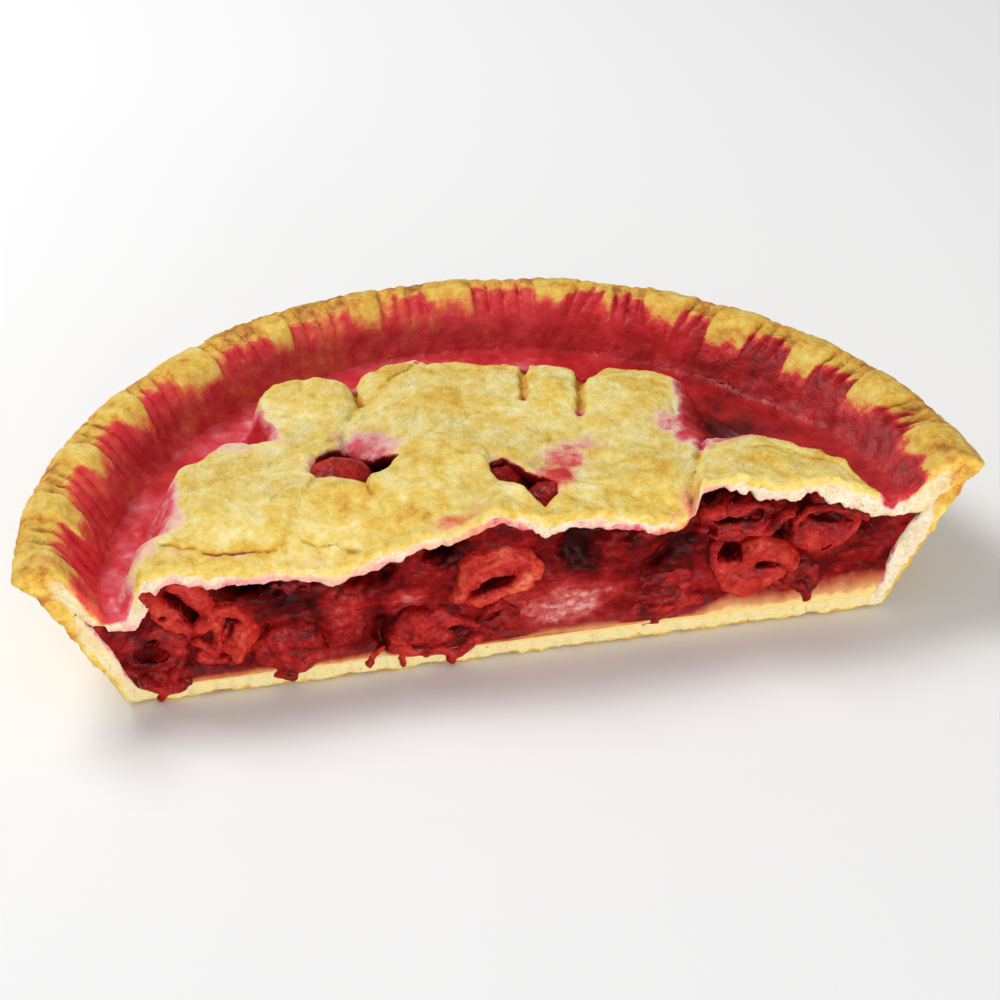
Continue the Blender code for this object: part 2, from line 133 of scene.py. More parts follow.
# The openings' outlines seen from above, as across and back.
OPENINGS = {
    "vent_left": (
        (-46.5, 31), (-43.5, 37), (-40, 40), (-36, 41.5), (-31.5, 38), (-27, 37.5), (-23.5, 34),
        (-26, 28), (-30, 25.5), (-33, 23.5), (-36, 26), (-39, 28), (-46, 29.5),
    ),
    "vent_right": (
        (-2, 24), (1.5, 26), (5.5, 21), (8.5, 17.5), (12.5, 13), (12.5, 10), (10, 8), (8, 5.5), (5, 9),
        (2, 12), (-1.5, 15), (-2, 20),
    ),
    "tear": ((55, 26), (57, 31), (62, 33), (67, 30), (66, 26), (60, 24)),
}
SLITS = (
    ((17.0, 71.5), (13.4, 53.5), 1.0, 2.4), ((31.2, 64.5), (27, 45.5), 1.1, 2.8),
)  # both ends, half width and depth
CRACKS = (
    ((44.6, -2), (46, 5), 0.8, 2.4), ((46, 5), (51, 18), 0.7, 0.8), ((51, 18), (53.5, 25), 0.8, 1.6),
    ((-86, 9), (-76, 5.2), 0.5, 1.2), ((-76, 5.2), (-66, 4.8), 0.6, 1.5),
    ((-66, 4.8), (-58, 5.0), 0.5, 1.1), ((-52, 6.5), (-44, 6.5), 0.4, 1.0),
    ((-44, 6.5), (-39, 2.5), 0.5, 1.4), ((-34, 23), (-33.5, 17), 0.6, 1.2),
    ((-30, 72), (-28.8, 62), 0.9, 2.2), ((-28.8, 62), (-33, 54), 0.8, 0.9),
    ((13, 9), (20, 4), 0.5, 0.9), ((-20, 70), (-15, 74), 0.5, 1.0), ((-15, 74), (-10.5, 78), 0.5, 1.1),
    ((39, 59), (48, 56), 0.6, 0.7), ((48, 56), (52.5, 49), 0.6, 0.6), ((-52, 59), (-40, 53), 0.8, 0.6),
    ((-14, 35.5), (-5, 33), 0.5, 0.6), ((62, 15), (74, 12), 0.5, 0.9), ((66, 18), (80, 9.5), 0.5, 0.8),
    ((54, 20), (64, 19), 0.5, 0.7), ((70, 15.5), (84, 7), 0.4, 0.7),
)

# The rim's fork presses: middle angle and number of tines.
FORK_PRESSES = (
    (172, 3), (160, 3), (148.5, 3), (136.5, 3), (121, 4), (107.5, 4), (94.5, 3), (80, 4), (67.5, 2),
    (61.5, 2), (50.5, 2), (38.5, 3), (26.5, 3), (12.5, 3),
)
TINE_STEP = 2.2
PRESS_DEPTH, GROOVE_DEPTH, GROOVE_LEAN, PILLOW = 0.3, 2.1, 0.9, 1.5
WALL_AT_CUT = ((-90, 1.2), (90, 2.8))  # how much thicker the wall is at the cut: across, extra
LIP_ANGLE = 112.0  # round here the bottom crust's edge shows behind the lid's
LIP_HALF, LIP_SOFT = 16.0, 7.0  # how far round it shows, and how softly it ends
LIP_RISE = 2.6
QUILTING = 1.1  # how high the lid's soft quilting is
DETAIL_FROM, DETAIL_DROP = 105.0, 5.0  # the radius where the rim's detail starts, less at the left
SYRUP_FALL, FALL_REACH = 2.2, 5.5  # how much lower the syrup is at the cut, and from how far behind

# How finely each field is sampled, and how far beyond the rim.
LID_STEP, SHELL_STEP, SYRUP_STEP, GEL_STEP, CHERRY_STEP = 0.75, 0.85, 0.85, 0.65, 0.45
THIN_STEP = 0.6  # for the syrup's height and the gel's front
GEL_GROWTH, LONGEST_STEP = 1.07, 3.0  # behind its front the gel is sampled more and more coarsely
MARGIN = 2.5

# How far out the red juice has climbed the rim: angle and radius.
JUICE_LINE = (
    (0, 106), (10, 105.5), (22, 105.5), (32, 105), (45, 106), (60, 108), (75, 109), (92, 108.5),
    (101, 107.5), (120, 106.5), (145, 108), (158, 107.5), (172, 105.5), (180, 107.5),
)

# Where the red starts at the dome, as a share of its side from its middle, and how softly.
RED_START = (
    (0, 0.2), (21, 0.15), (26, -0.5), (36, -0.5), (42, -0.4), (50, -0.1), (60, 0.15), (127, 0.15),
    (132, -0.35), (141, -0.35), (146, 0.1), (152, 0.0), (160, -0.35), (170, -0.4), (175, 0.1), (180, 0.1),
)
RED_EDGE = (
    (0, 4), (22, 4), (30, 9), (44, 10), (52, 5), (127, 4), (133, 9), (141, 9), (147, 5), (160, 9),
    (173, 9), (180, 7),
)

# Browner patches of the lid: across, back, half sizes and strength.
TOASTED = (
    (-40, 17, 12, 5.5, 0.26), (-54, 20, 4, 10, 0.12), (-28, 10, 10, 6, 0.18), (-8, 56, 9, 7, 0.22),
    (-18, 27, 9, 6, 0.16), (-10, 14, 6, 6, 0.12), (45, 50, 5, 7, 0.24), (22, 54, 4, 5, 0.18),
    (38, 20, 8, 6, 0.12), (28, 10, 9, 6, 0.14), (62, 10, 8, 4, 0.16), (80, 10, 8, 3, 0.3),
    (-84, 10, 5, 2, 0.2), (-70, 4, 12, 2, 0.22), (-39, 44, 3.5, 4, 0.3), (-27, 44, 5, 4, 0.3),
    (3, 28, 3, 3, 0.2), (14, 15, 2, 4, 0.3), (-44, 72, 9, 4, 0.15), (6, 72, 12, 3, 0.2),
    (-20, 76, 8, 3, 0.22), (44, 62, 10, 2.5, 0.25), (-78, 30, 8, 5, 0.1), (52, 30, 3, 4, 0.2),
    (-22, 66, 4, 6, 0.15), (18, 64, 3, 7, 0.15),
)

# How much browner the rim is than the lid's middle, by angle.
RIM_BROWN = ((0, 0.38), (50, 0.38), (75, 0.42), (110, 0.40), (135, 0.34), (180, 0.32))

# Where the stains are more orange than pink: across, back, half sizes and strength.
ORANGE = (
    (14, 15, 6, 6, 0.9), (-13, 3, 12, 4, 1.0), (41, 0, 5, 5, 0.9), (-42, 6, 14, 5, 0.9),
    (-24, 34, 4, 3, 0.7), (44, 5, 4, 8, 0.6), (20, 27, 6, 5, 0.4), (75, 25, 11, 5, 0.9), (16, 21, 6, 7, 0.8),
    (86, 14, 8, 6, 0.9),
)

# How deep the browned skin goes at the cut edge of the lid: across and depth.
SKIN_AT_CUT = (
    (-92, 1.0), (-84, 1.4), (-64, 1.8), (-56, 3.4), (-42, 3.2), (-34, 1.1), (0, 1.1), (38, 1.3),
    (43, 2.4), (47, 1.6), (92, 1.2),
)
SKIN = 1.0

# The filling at the cut. Hollows: across, height, half sizes, turn in degrees, and depth.
HOLLOWS = (
    (-66, 29.5, 7.5, 2.4, -8, 9), (-58, 16.8, 7, 1.5, 0, 6), (-50, 29.5, 6, 1.6, 0, 6),
    (-37, 28, 8, 3.0, 20, 6), (15.5, 29.8, 5.5, 6.8, 10, 5), (24, 33.5, 12, 2.2, 0, 5),
    (-17, 34.5, 6, 2.4, 30, 7), (68.8, 25.0, 2.0, 6.5, 38, 8), (50, 39.8, 6.5, 2.4, -5, 9),
    (60, 37.8, 6, 1.3, -12, 5), (74, 36.5, 2.2, 2.4, 0, 6), (35.3, 21.6, 2.4, 1.5, 48, 4.5),
    (38.2, 25.0, 2.3, 1.5, 48, 4.5), (46.2, 28.2, 2.6, 2.0, 20, 3.0), (90, 27.5, 4, 1.5, -20, 4),
    (-34, 12, 1.8, 6, 0, 4), (-24, 17.0, 7, 1.2, -12, 3.5), (-87, 24.5, 3, 1.2, 0, 3),
    (-73.5, 19.5, 2.2, 2.8, 20, 3.5), (52, 36.0, 3.0, 1.6, 0, 5),
)

# Pale clouds of fine bubbles in the gel, and dark places, clear gel with painted shade in the hollows:
# across, height, half sizes, strength.
HAZE = (
    (13, 13, 15, 8, 1.0), (16, 8, 11, 3.5, 0.6), (-28, 20, 6, 3.2, 0.9), (-45, 16, 6, 8, 0.55),
    (3, 20, 5, 4, 0.5), (90, 17, 5, 4, 0.3), (-1, 13, 3, 5, 0.3),
)
DARK_GEL_AND_HOLLOW_SHADE = (
    (-65, 29, 9, 3.5, 1.0), (-57, 24.5, 9, 6, 0.5), (-40, 29, 10, 3, 0.8), (15.5, 29.5, 8, 7.5, 1.0),
    (50, 40, 8, 3.5, 1.0), (69, 24, 4, 6, 1.0), (42, 28, 12, 7, 0.6), (-17, 34, 7, 4, 0.8),
    (36, 22, 6, 6, 0.5), (-33, 12, 3, 7, 0.6), (36, 15, 6, 5, 0.4), (95, 20, 8, 6, 0.25),
)

# How high the tan, juice-soaked band over the base reaches: across and height.
SOAKED = (
    (-100, 5.5), (-80, 7), (-68, 7.3), (-50, 7), (-36, 7.5), (-30, 6), (-8, 5.6), (2, 6.5), (8, 8),
    (26, 7.5), (30, 6), (46, 7), (56, 11), (70, 9.5), (85, 11.5), (95, 13),
)

# Juice stains on the lid, and how pink its lower edge is at the cut.
STAINS = (
    (-31, 42, 6, 5, 0.95), (-26, 40, 4.5, 4, 0.8), (-36, 46, 5, 3, 0.4), (-65, 47, 8, 5, 0.34),
    (-56, 42, 6, 3, 0.2), (13.5, 17, 5, 6, 0.85), (17, 24, 6, 6, 0.62), (22, 30, 8, 5, 0.42),
    (9, 23, 3, 2, 0.3), (-15, 2.5, 8, 2.5, 0.5), (-8, 5, 5, 2, 0.3), (-50, 2, 5, 3, 0.25),
    (-1, 27, 4, 2, 0.2), (50, 28, 3, 4, 0.6), (53, 23, 3, 3, 0.6),
    (62, 22.5, 9, 2, 0.62), (72, 19, 6, 1.5, 0.3),
    (27, 46, 1.2, 2.5, 0.8), (13.8, 53.5, 1.0, 2.0, 0.4), (44.5, 3, 2, 5, 0.55), (40, 0, 3, 2, 0.35),
    (-70, 4, 8, 1, 0.3), (-90, 10, 4, 5, 0.5), (-82, 5, 6, 1.5, 0.2), (-12, 79, 8, 1.2, 0.3),
    (-46, 33, 3, 4, 0.3), (58, 50, 4, 7, 0.5), (24, 70.5, 6, 1.5, 0.35), (10, 69, 4, 1.5, 0.3),
    (-112, 4, 4, 3, 0.35), (48, 36, 4, 7, 0.5),
)
PINK_EDGE = (
    (-100, 0.3), (-84, 0.4), (-60, 0.5), (-40, 0.45), (-20, 0.3), (-10, 0.55), (0, 0.5), (6, 0.2),
    (16, 0.3), (24, 0.45), (42, 0.45), (50, 0.4), (56, 0.2), (66, 0.3), (76, 0.15), (92, 0.1),
)
PINK_REACH = 4.4  # how far up the cut edge the pink climbs

# How dark the juice in the moat is, by angle.
DARK_JUICE = (
    (0, 0.66), (20, 0.72), (40, 0.76), (60, 0.62), (80, 0.40), (110, 0.37), (140, 0.44), (180, 0.44),
)

# Beside the dome's right side, as across, back, half sizes and strength: painted shade of a hollow, put on
# the moat's floor, and a place of paler, thinner juice.
PAINTED_HOLLOW_SHADE = ((66.5, 45.5, 6, 5.5, 1.0),)
PALE_PLACE = ((58, 51, 5, 9, 1.0),)

CHERRIES = sorted(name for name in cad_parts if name.startswith("cherry_"))


def tearing(tone, front=None, pits=(), folds=(), swollen=(0.0, 1.0)):
    """How one cherry is torn, and tone is how bright it is.

    front is how far behind the cut plane its cut face stands; with none, it lies whole in an
    opening. A pit is a hollow: across, height, half sizes, turn and depth. A fold is a lip of flesh
    along a line of (across, height) points, with its radius and its place behind the cut. swollen
    is how far the cherry has risen, and how many times it has grown.
    """
    return {"tone": tone, "front": front, "pits": pits, "folds": folds, "swollen": swollen}


TORN = {
    "cherry_01": tearing(
        front=0.2, tone=0.25,
        pits=((-91, 14.2, 3.8, 2.6, 0, 3.5), (-91, 18.0, 1.7, 1.1, 0, 5)),
        folds=(
            (((-97, 17), (-92, 20.6), (-85.5, 18.5), (-82.6, 13.5), (-85, 9.5)), 1.3, 1.6),
            (((-86, 9), (-88.5, 4), (-89.6, 1.4)), 2.0, 1.2), (((-82, 6), (-81.4, 4.6)), 1.1, 0.2),
            (((-98, 12), (-94, 8), (-88, 7.5)), 1.2, 1.4),
            (((-93, 6.4), (-89, 3.4), (-84, 4.4)), 2.3, 0.7),
        ),
    ),
    "cherry_02": tearing(
        front=-0.4, tone=1.0,
        pits=(
            (-84.4, 29.6, 2.9, 1.5, -38, 7), (-80.4, 24.6, 3.6, 1.6, -66, 7),
            (-87.5, 25.5, 1.0, 0.7, 0, 2.5),
        ),
        folds=(
            (((-84, 33.3), (-79.6, 31.8), (-76.6, 28.6), (-76.4, 24.5)), 2.1, 1.6),
            (((-90, 32), (-88.2, 27), (-84.5, 22)), 2.4, 2.4), (((-84, 21), (-78, 20)), 1.5, 2.0),
        ),
    ),
    "cherry_03": tearing(
        front=0.2, tone=0.95,
        pits=((-72.2, 18.5, 1.6, 3.0, -12, 3.5), (-70.8, 22, 1.8, 1.0, 0, 3)),
        folds=(
            (((-78.5, 21), (-74.5, 25.2), (-70.2, 26), (-67.2, 22.5), (-68, 17), (-70.3, 10.5)), 1.7, 0.6),
            (((-80, 15.5), (-76, 13), (-73.5, 16), (-74.5, 20)), 1.6, 1.6),
            (((-79, 11), (-74, 9.8)), 1.4, 1.8),
        ),
    ),
    "cherry_04": tearing(
        front=-1.6, tone=0.5,
        folds=(
            (((-64, 11), (-59, 6.6), (-54, 5.6), (-50.5, 8)), 3.2, 2.6),
            (((-65.5, 12), (-61, 13.6), (-54, 13.0)), 1.6, 1.8), (((-60.5, 4.2), (-57.5, 2.8)), 1.5, 0.6),
        ),
    ),
    "cherry_05": tearing(front=2.4, tone=0.12),
    "cherry_06": tearing(front=0.8, tone=0.42),
    "cherry_07": tearing(
        front=-0.8, tone=0.62, pits=((-16, 10.6, 3.0, 0.7, -25, 2.5),),
        folds=(
            (((-31, 9.5), (-25, 13), (-17, 13.2), (-10.5, 10.5)), 1.6, 1.6),
            (((-31, 6.5), (-25, 4.4), (-15, 4.2), (-10, 6.5)), 2.0, 1.2),
            (((-29.2, 4), (-29.4, 2.0)), 1.0, -0.4), (((-16.8, 3.8), (-16.7, 1.4)), 1.1, -0.3),
            (((-34.8, 7.4), (-37.8, 3.2)), 0.7, 0.3),
        ),
    ),
    "cherry_08": tearing(
        front=-0.6, tone=1.2,
        pits=((-4.6, 23.4, 4.8, 1.9, 16, 8), (-9.5, 21.2, 2.4, 1.0, 35, 5)),
        folds=(
            (((-14.6, 20.4), (-13, 24.5), (-10.5, 28), (-6.5, 30.2), (-1.5, 30.8), (3, 29.4)), 2.4, 1.3),
            (((3, 29), (5.2, 26.6), (4.6, 24)), 1.8, 1.6),
            (((-14, 19.2), (-8, 18.4), (-1, 19.6), (3, 21)), 1.5, 1.6),
            (((-1, 22), (2.6, 23.2)), 1.5, 1.8),
        ),
    ),
    "cherry_09": tearing(
        front=0.4, tone=0.22, pits=((-6, 13.2, 2.6, 0.8, 20, 3),),
        folds=((((-9.6, 12.4), (-6.5, 15.2), (-1.5, 14.6)), 1.1, 1.0),),
    ),
    "cherry_10": tearing(front=2.6, tone=0.2),
    "cherry_11": tearing(
        front=0.9, tone=0.4,
        folds=(
            (((31, 8.5), (35, 8.0), (42, 9.4), (47.5, 9.6)), 2.4, 2.4),
            (((30.5, 5.4), (36, 5.4), (43, 6.6)), 1.6, 1.4), (((32, 12), (37, 10.5)), 1.4, 2.4),
        ),
    ),
    "cherry_12": tearing(
        front=-0.9, tone=0.85,
        pits=((55.0, 23.8, 2.9, 2.7, 10, 6), (64.6, 18.7, 3.2, 1.0, 10, 4.5)),
        folds=(
            (((58.6, 23.4), (63, 24.6), (67.6, 22.8), (71.0, 19.0)), 2.8, 0.6),
            (((51.6, 26.4), (51.9, 20), (54, 14.2), (58.8, 11.2), (64, 12.2), (68.6, 15.6)), 1.8, 0.8),
            (((60, 21.4), (66, 21.2)), 2.2, 0.8), (((56.5, 15.8), (62, 14.8)), 2.6, 1.2),
        ),
    ),
    "cherry_13": tearing(
        front=-0.2, tone=0.5,
        pits=((54.6, 33.4, 4.4, 1.1, 3, 5), (61.2, 34.4, 2.2, 1.2, 15, 2.5), (49.0, 31.2, 1.2, 0.9, 0, 3)),
        folds=(
            (((46.4, 32.4), (51, 29.8), (58, 28.4), (64.6, 29.4), (69.6, 33.0)), 1.4, 0.4),
            (((47.5, 35.2), (54, 36.2), (60.5, 36.6), (66, 35)), 1.3, 1.4),
        ),
    ),
    "cherry_14": tearing(
        front=-1.3, tone=0.55, pits=((79.5, 31.2, 4.6, 1.3, -14, 1.6), (80, 22.2, 1.6, 0.6, 10, 1.2)),
        folds=(
            (((71.6, 31.2), (75, 33.6), (81, 33.4), (87, 30.4), (90.8, 29.4)), 1.1, 0.4),
            (((71.5, 29), (75, 23.5), (79.8, 21.2), (84.5, 24), (87.5, 28)), 1.2, 0.2),
        ),
    ),
    "cherry_15": tearing(
        front=0.2, tone=0.14,
        folds=((((67.5, 12.2), (71.5, 9.6)), 1.3, 1.0), (((74.5, 10), (76.5, 6.4)), 1.7, 0.6)),
    ),
    "cherry_16": tearing(tone=0.75, swollen=(4.4, 1.26)),
    "cherry_17": tearing(tone=0.35, swollen=(3.6, 1.24)),
    "cherry_18": tearing(tone=0.55, swollen=(4.2, 1.2)),
    "cherry_19": tearing(tone=0.1, swollen=(-1.5, 1.0)),
}


# --- Numbers ---------------------------------------------------------------------------------


def smooth(t):
    """0 below 0, 1 above 1, and an S between."""
    t = np.clip(t, 0.0, 1.0)
    return t * t * (3.0 - 2.0 * t)


def eased(table, at):
    """A table of (place, value), read with level stretches at its own points."""
    places = np.array([row[0] for row in table], float)
    values = np.array([row[1] for row in table], float)
    at = np.clip(at, places[0], places[-1])
    i = np.clip(np.searchsorted(places, at, side="right") - 1, 0, len(places) - 2)
    share = smooth((at - places[i]) / (places[i + 1] - places[i]))
    return values[i] + (values[i + 1] - values[i]) * share


def straight(table, at):
    """A table of (place, value), read along straight lines."""
    return np.interp(at, [row[0] for row in table], [row[1] for row in table])


def larger(a, b, blend):
    """The larger of two fields, with the edge between them rounded."""
    h = np.clip(0.5 + 0.5 * (a - b) / blend, 0.0, 1.0)
    return b + (a - b) * h + blend * h * (1.0 - h)


def smaller(a, b, blend):
    return -larger(-a, -b, blend)


def noise(x, y, z, size, seed):
    """Perlin noise, about -1 to 1, with features of this size. A coordinate may be one number."""
    rng = np.random.default_rng(seed)
    order = rng.permutation(256)
    slopes = rng.normal(size=(256, 3))
    slopes = (slopes * 1.6 / np.linalg.norm(slopes, axis=1, keepdims=True)).astype(np.float32)
    x, y, z = np.broadcast_arrays(*(np.asarray(c, np.float32) for c in (x, y, z)))
    corner, inside, weight = [], [], []
    for c in (x, y, z):
        c = c / size
        low = np.floor(c)
        corner.append(low.astype(np.int32))
        inside.append(c - low)
        t = c - low
        weight.append(t * t * t * (t * (t * 6 - 15) + 10))
    total = 0.0
    for dx in (0, 1):
        first = order[(corner[0] + dx) & 255]
        wx = weight[0] if dx else 1 - weight[0]
        for dy in (0, 1):
            second = order[(first + corner[1] + dy) & 255]
            wy = weight[1] if dy else 1 - weight[1]
            for dz in (0, 1):
                slope = slopes[order[(second + corner[2] + dz) & 255]]
                wz = weight[2] if dz else 1 - weight[2]
                push = slope[..., 0] * (inside[0] - dx) + slope[..., 1] * (inside[1] - dy)
                push = push + slope[..., 2] * (inside[2] - dz)
                total = total + wx * wy * wz * push
    return total


def rough(x, y, z, size, seed, octaves=3):
    """Noise with finer and finer noise on it."""
    return sum(noise(x, y, z, size / 2**k, seed + k) / 2**k for k in range(octaves))


def blobs(x, y, rows):
    """Soft spots in plan, each as across, back, half sizes and strength: the strongest one."""
    strongest = 0.0
    for across, back, wide, deep, strength in rows:
        far = ((x - across) / wide) ** 2 + ((y - back) / deep) ** 2
        strongest = np.maximum(strongest, strength * np.exp(-far))
    return strongest


def from_outline(x, y, outline):
    """Distance in plan to a closed outline, negative inside it."""
    points = np.array(outline, float)
    nearest, inside = np.inf, np.zeros(np.broadcast(x, y).shape, bool)
    for (ax, ay), (bx, by) in zip(points, np.roll(points, -1, axis=0)):
        nearest = np.minimum(nearest, from_line(x, y, (ax, ay), (bx, by)))
        between = (ay > y) != (by > y)
        span = (by - ay) if by != ay else 1.0
        inside ^= between & (x < (bx - ax) * (y - ay) / span + ax)
    return np.where(inside, -nearest, nearest)


def from_line(x, y, a, b):
    """Distance in plan to a straight line between two points."""
    (ax, ay), (bx, by) = a, b
    run = ((x - ax) * (bx - ax) + (y - ay) * (by - ay)) / ((bx - ax) ** 2 + (by - ay) ** 2)
    run = np.clip(run, 0.0, 1.0)
    return np.hypot(x - ax - run * (bx - ax), y - ay - run * (by - ay))


def polar(x, y):
    return np.hypot(x, y), np.degrees(np.arctan2(np.maximum(y, 0.0), x))


# --- The crusts' shape -----------------------------------------------------------------------


def to_right_end(angle, left, right):
    """left all round the moat, turning into right at its right end."""
    return left + (right - left) * smooth(1.0 - angle / MOAT_RISE_ANGLE)


def moat_floor(angle):
    return to_right_end(angle, MOAT_FLOOR, MOAT_FLOOR_RIGHT)


def juice_level(angle):
    return moat_floor(angle) + eased(JUICE_DEPTH, angle)


def dome_edge(angle):
    return eased(DOME_EDGE, angle)


def dome_side(angle):
    return eased(DOME_SIDE, angle)


def swelling(x, y):
    total = sum(
        height * np.exp(-(((x - across) / wide) ** 2) - ((y - back) / deep) ** 2)
        for across, back, height, wide, deep in SWELLS
    )
    for height, soft, outline in FOLDS:
        total = total + height * smooth(0.5 - from_outline(x, y, outline) / soft)
    return total


def near_cut(y):
    """1 at the cut, and less and less behind it."""
    return np.exp(-((np.maximum(y, 0.0) / FRONT_REACH) ** 2))


def press(angle, radius):
    """The fork's work on the rim: how far it is pressed in, its grooves, and the ridges' lean."""
    pressed, grooved, lean = 0.0, 0.0, 0.0
    bent = angle + 0.3 * noise(angle, 0.12 * radius, 0.0, 3.0, 35)
    for number, (middle, tines) in enumerate(FORK_PRESSES):
        slant = 0.12 * math.sin(3.7 * number) - 0.04
        away = bent - middle - slant * (radius - RIM_CREST)
        half = tines * TINE_STEP / 2
        here = smooth((half + 0.7 - np.abs(away)) / 1.2)
        turn = (away + half) / TINE_STEP
        pressed = np.maximum(pressed, here)
        grooved = np.maximum(grooved, here * (1.0 - np.abs(np.sin(np.pi * turn))) ** 1.3)
        lean = lean + here * (turn % 1.0 - 0.5)
    return pressed, grooved, lean


def rim_detail(angle, radius):
    """What the fork adds to the rim's plain profile, in height."""
    pressed, grooved, lean = press(angle, radius)
    low_end = DETAIL_FROM - DETAIL_DROP * smooth((angle - 118.0) / 18.0)
    up = smooth((radius - low_end) / 6.0)
    inside_tip = 0.25 + 0.75 * smooth((118.0 - radius) / 4.0)
    strength = 0.9 + 0.4 * noise(angle, 0.0, 0.0, 5.0, 31)
    lump = PILLOW * (0.5 - pressed) + 0.6 * noise(angle, 0.1 * radius, 0.0, 5.0, 33)
    lines = strength * (GROOVE_DEPTH * grooved + GROOVE_LEAN * lean)
    return up * inside_tip * (lump - PRESS_DEPTH * pressed - lines)


def creases(x, y):
    """How far inside one of the thin wrinkles of the lid's skin a place is, from 0 to 1."""
    bent_x, bent_y = x + 2.5 * noise(x, y, 0.0, 11.0, 141), y + 2.5 * noise(x, y, 0.0, 11.0, 142)
    wide = 1.0 - np.abs(noise(bent_x, 1.4 * bent_y, 0.0, 17.0, 143))
    fine = 1.0 - np.abs(noise(bent_x, 1.6 * bent_y, 0.0, 7.5, 144))
    here = smooth(0.5 + 0.9 * noise(x, y, 0.0, 21.0, 145))
    return np.maximum(smooth((wide - 0.90) / 0.09) * here, 0.6 * smooth((fine - 0.9) / 0.09) * (1 - here))


def bulges(x, y):
    """The lid's soft quilting, about -1 to 1."""
    return 0.65 * noise(x, y, 0.0, 15.0, 11) + 0.5 * noise(x, y, 0.0, 7.0, 12)


def film(x, y):
    """Wrinkles in the skin of the juice, 0 to 1."""
    bent = 4.0 * noise(x, y, 0.0, 16.0, 161)
    lines = 1.0 - np.abs(noise(x + bent, y - bent, 0.0, 9.0, 162))
    fine = 1.0 - np.abs(noise(x - bent, y + bent, 0.0, 4.5, 164))
    here = smooth(0.6 + noise(x, y, 0.0, 22.0, 163))
    return smooth((lines - 0.7) / 0.3) * here + 0.5 * smooth((fine - 0.75) / 0.25)


def along_lines(x, y, rows):
    """Height along straight lines, each as both ends, half width and height: the highest one."""
    bent_x, bent_y = x + 0.9 * noise(x, y, 0.0, 5.0, 151), y + 0.9 * noise(x, y, 0.0, 5.0, 152)
    highest = 0.0
    for a, b, half, height in rows:
        here = height * np.exp(-((from_line(bent_x, bent_y, a, b) / half) ** 2))
        highest = np.maximum(highest, here)
    return highest


def bowl(share):
    """An S from 0 to 1 that leaves 0 at once and comes to rest at 1."""
    low = smooth(BOWL)
    return (smooth(BOWL + (1.0 - BOWL) * np.clip(share, 0.0, 1.0)) - low) / (1.0 - low)


def lid_top(x, y):
    """The height of the lid's outer surface, without its finest bumps."""
    radius, angle = polar(x, y)
    floor, side = moat_floor(angle), dome_side(angle)
    dome = DOME_HEIGHT + swelling(x, y) + QUILTING * bulges(x, y) - 0.55 * creases(x, y)
    front = eased(FRONT_TOP, x - CRACK_SLANT * y) + 0.8 * rough(x, y, 0.0, 5.0, 23, 3)
    dome = dome + (front - dome) * near_cut(y)
    wander = 1.3 * rough(x, y, 0.0, 9.0, 13, 2)
    on_dome = bowl((dome_edge(angle) + wander + side / 2 - radius) / side)
    foot = eased(RIM_FOOT, angle)
    up_rim = bowl((radius - foot) / (RIM_CREST - foot))
    floor = floor + 0.4 * rough(x, y, 0.0, 9.0, 15, 2) + 0.45 * film(x, y)
    floor = floor + along_lines(x, y, RIDGES) * (1.0 - on_dome)
    on_slope = smooth((radius - foot) / 4.0) * smooth((112.0 - radius) / 5.0)
    floor = floor + 0.55 * on_slope * rough(x, y, 0.0, 5.5, 25, 2)
    past = smooth((radius - CREST_END) / (RIM_RADIUS + 1.0 - CREST_END))
    z = floor + (dome - floor) * on_dome + (CREST_HEIGHT - floor) * up_rim
    return z - (CREST_HEIGHT - RIM_TIP_HEIGHT) * past + rim_detail(angle, radius)


def lip(angle):
    """1 where the bottom crust's edge stands out behind the lid's, and 0 elsewhere."""
    return smooth((LIP_HALF - np.abs(angle - LIP_ANGLE)) / LIP_SOFT)


def seam_height(radius, angle):
    beyond = np.maximum(radius - SEAM[-1][0], 0.0)
    raised = LIP_RISE * lip(angle) * smooth((radius - 115.5) / 3.5)
    return straight(SEAM, radius) + 0.5 * beyond + raised


def lid_under(x, y):
    """The height of the lid's lower surface: over the filling, then along the seam of the crusts."""
    radius, angle = polar(x, y)
    floor, side = moat_floor(angle) - LID, dome_side(angle)
    dome = DOME_HEIGHT + swelling(x, y) - LID + QUILTING * bulges(x, y)
    crumbs = 0.6 + 0.7 * smooth((x - 44.0) / 12.0)
    front = eased(FRONT_UNDER, x - CRACK_SLANT * y) + crumbs * rough(x, y, 0.0, 2.8, 29, 3)
    dome = dome + (front - dome) * near_cut(y)
    on_dome = smooth((dome_edge(angle) - SIDE_WALL + side / 2 - radius) / side)
    seam = np.where(radius > SEAM[0][0] - 3.0, seam_height(radius, angle), -99.0)
    return larger(floor + (dome - floor) * on_dome, seam, 1.5)


def wall_radius(z):
    return straight(WALL, z)


def cut_plane(x, z):
    """Where the knife's cut lies: it is torn a little."""
    return 0.75 * rough(x, 0.0, z, 4.0, 41, 3) + 0.25 * noise(x, 0.0, z, 1.2, 45)


def opening_field(x, y, z):
    """Negative inside the vents and the tear."""
    ragged = 0.6 * rough(x, y, 0.0, 4.0, 51, 2)
    field = np.inf
    for outline in OPENINGS.values():
        field = np.minimum(field, from_outline(x, y, outline) + ragged)
    return field + 0.1 * (DOME_HEIGHT - z)


def crack_depth(x, y):
    """How deep the lid's slits and cracks are here."""
    return along_lines(x, y, SLITS + CRACKS)


def fine_bumps(x, y, z):
    """The crust's own small relief: soft blisters, and a fine crumb."""
    return 0.42 * rough(x, y, z, 4.0, 61, 2) + 0.10 * noise(x, y, z, 1.3, 65)


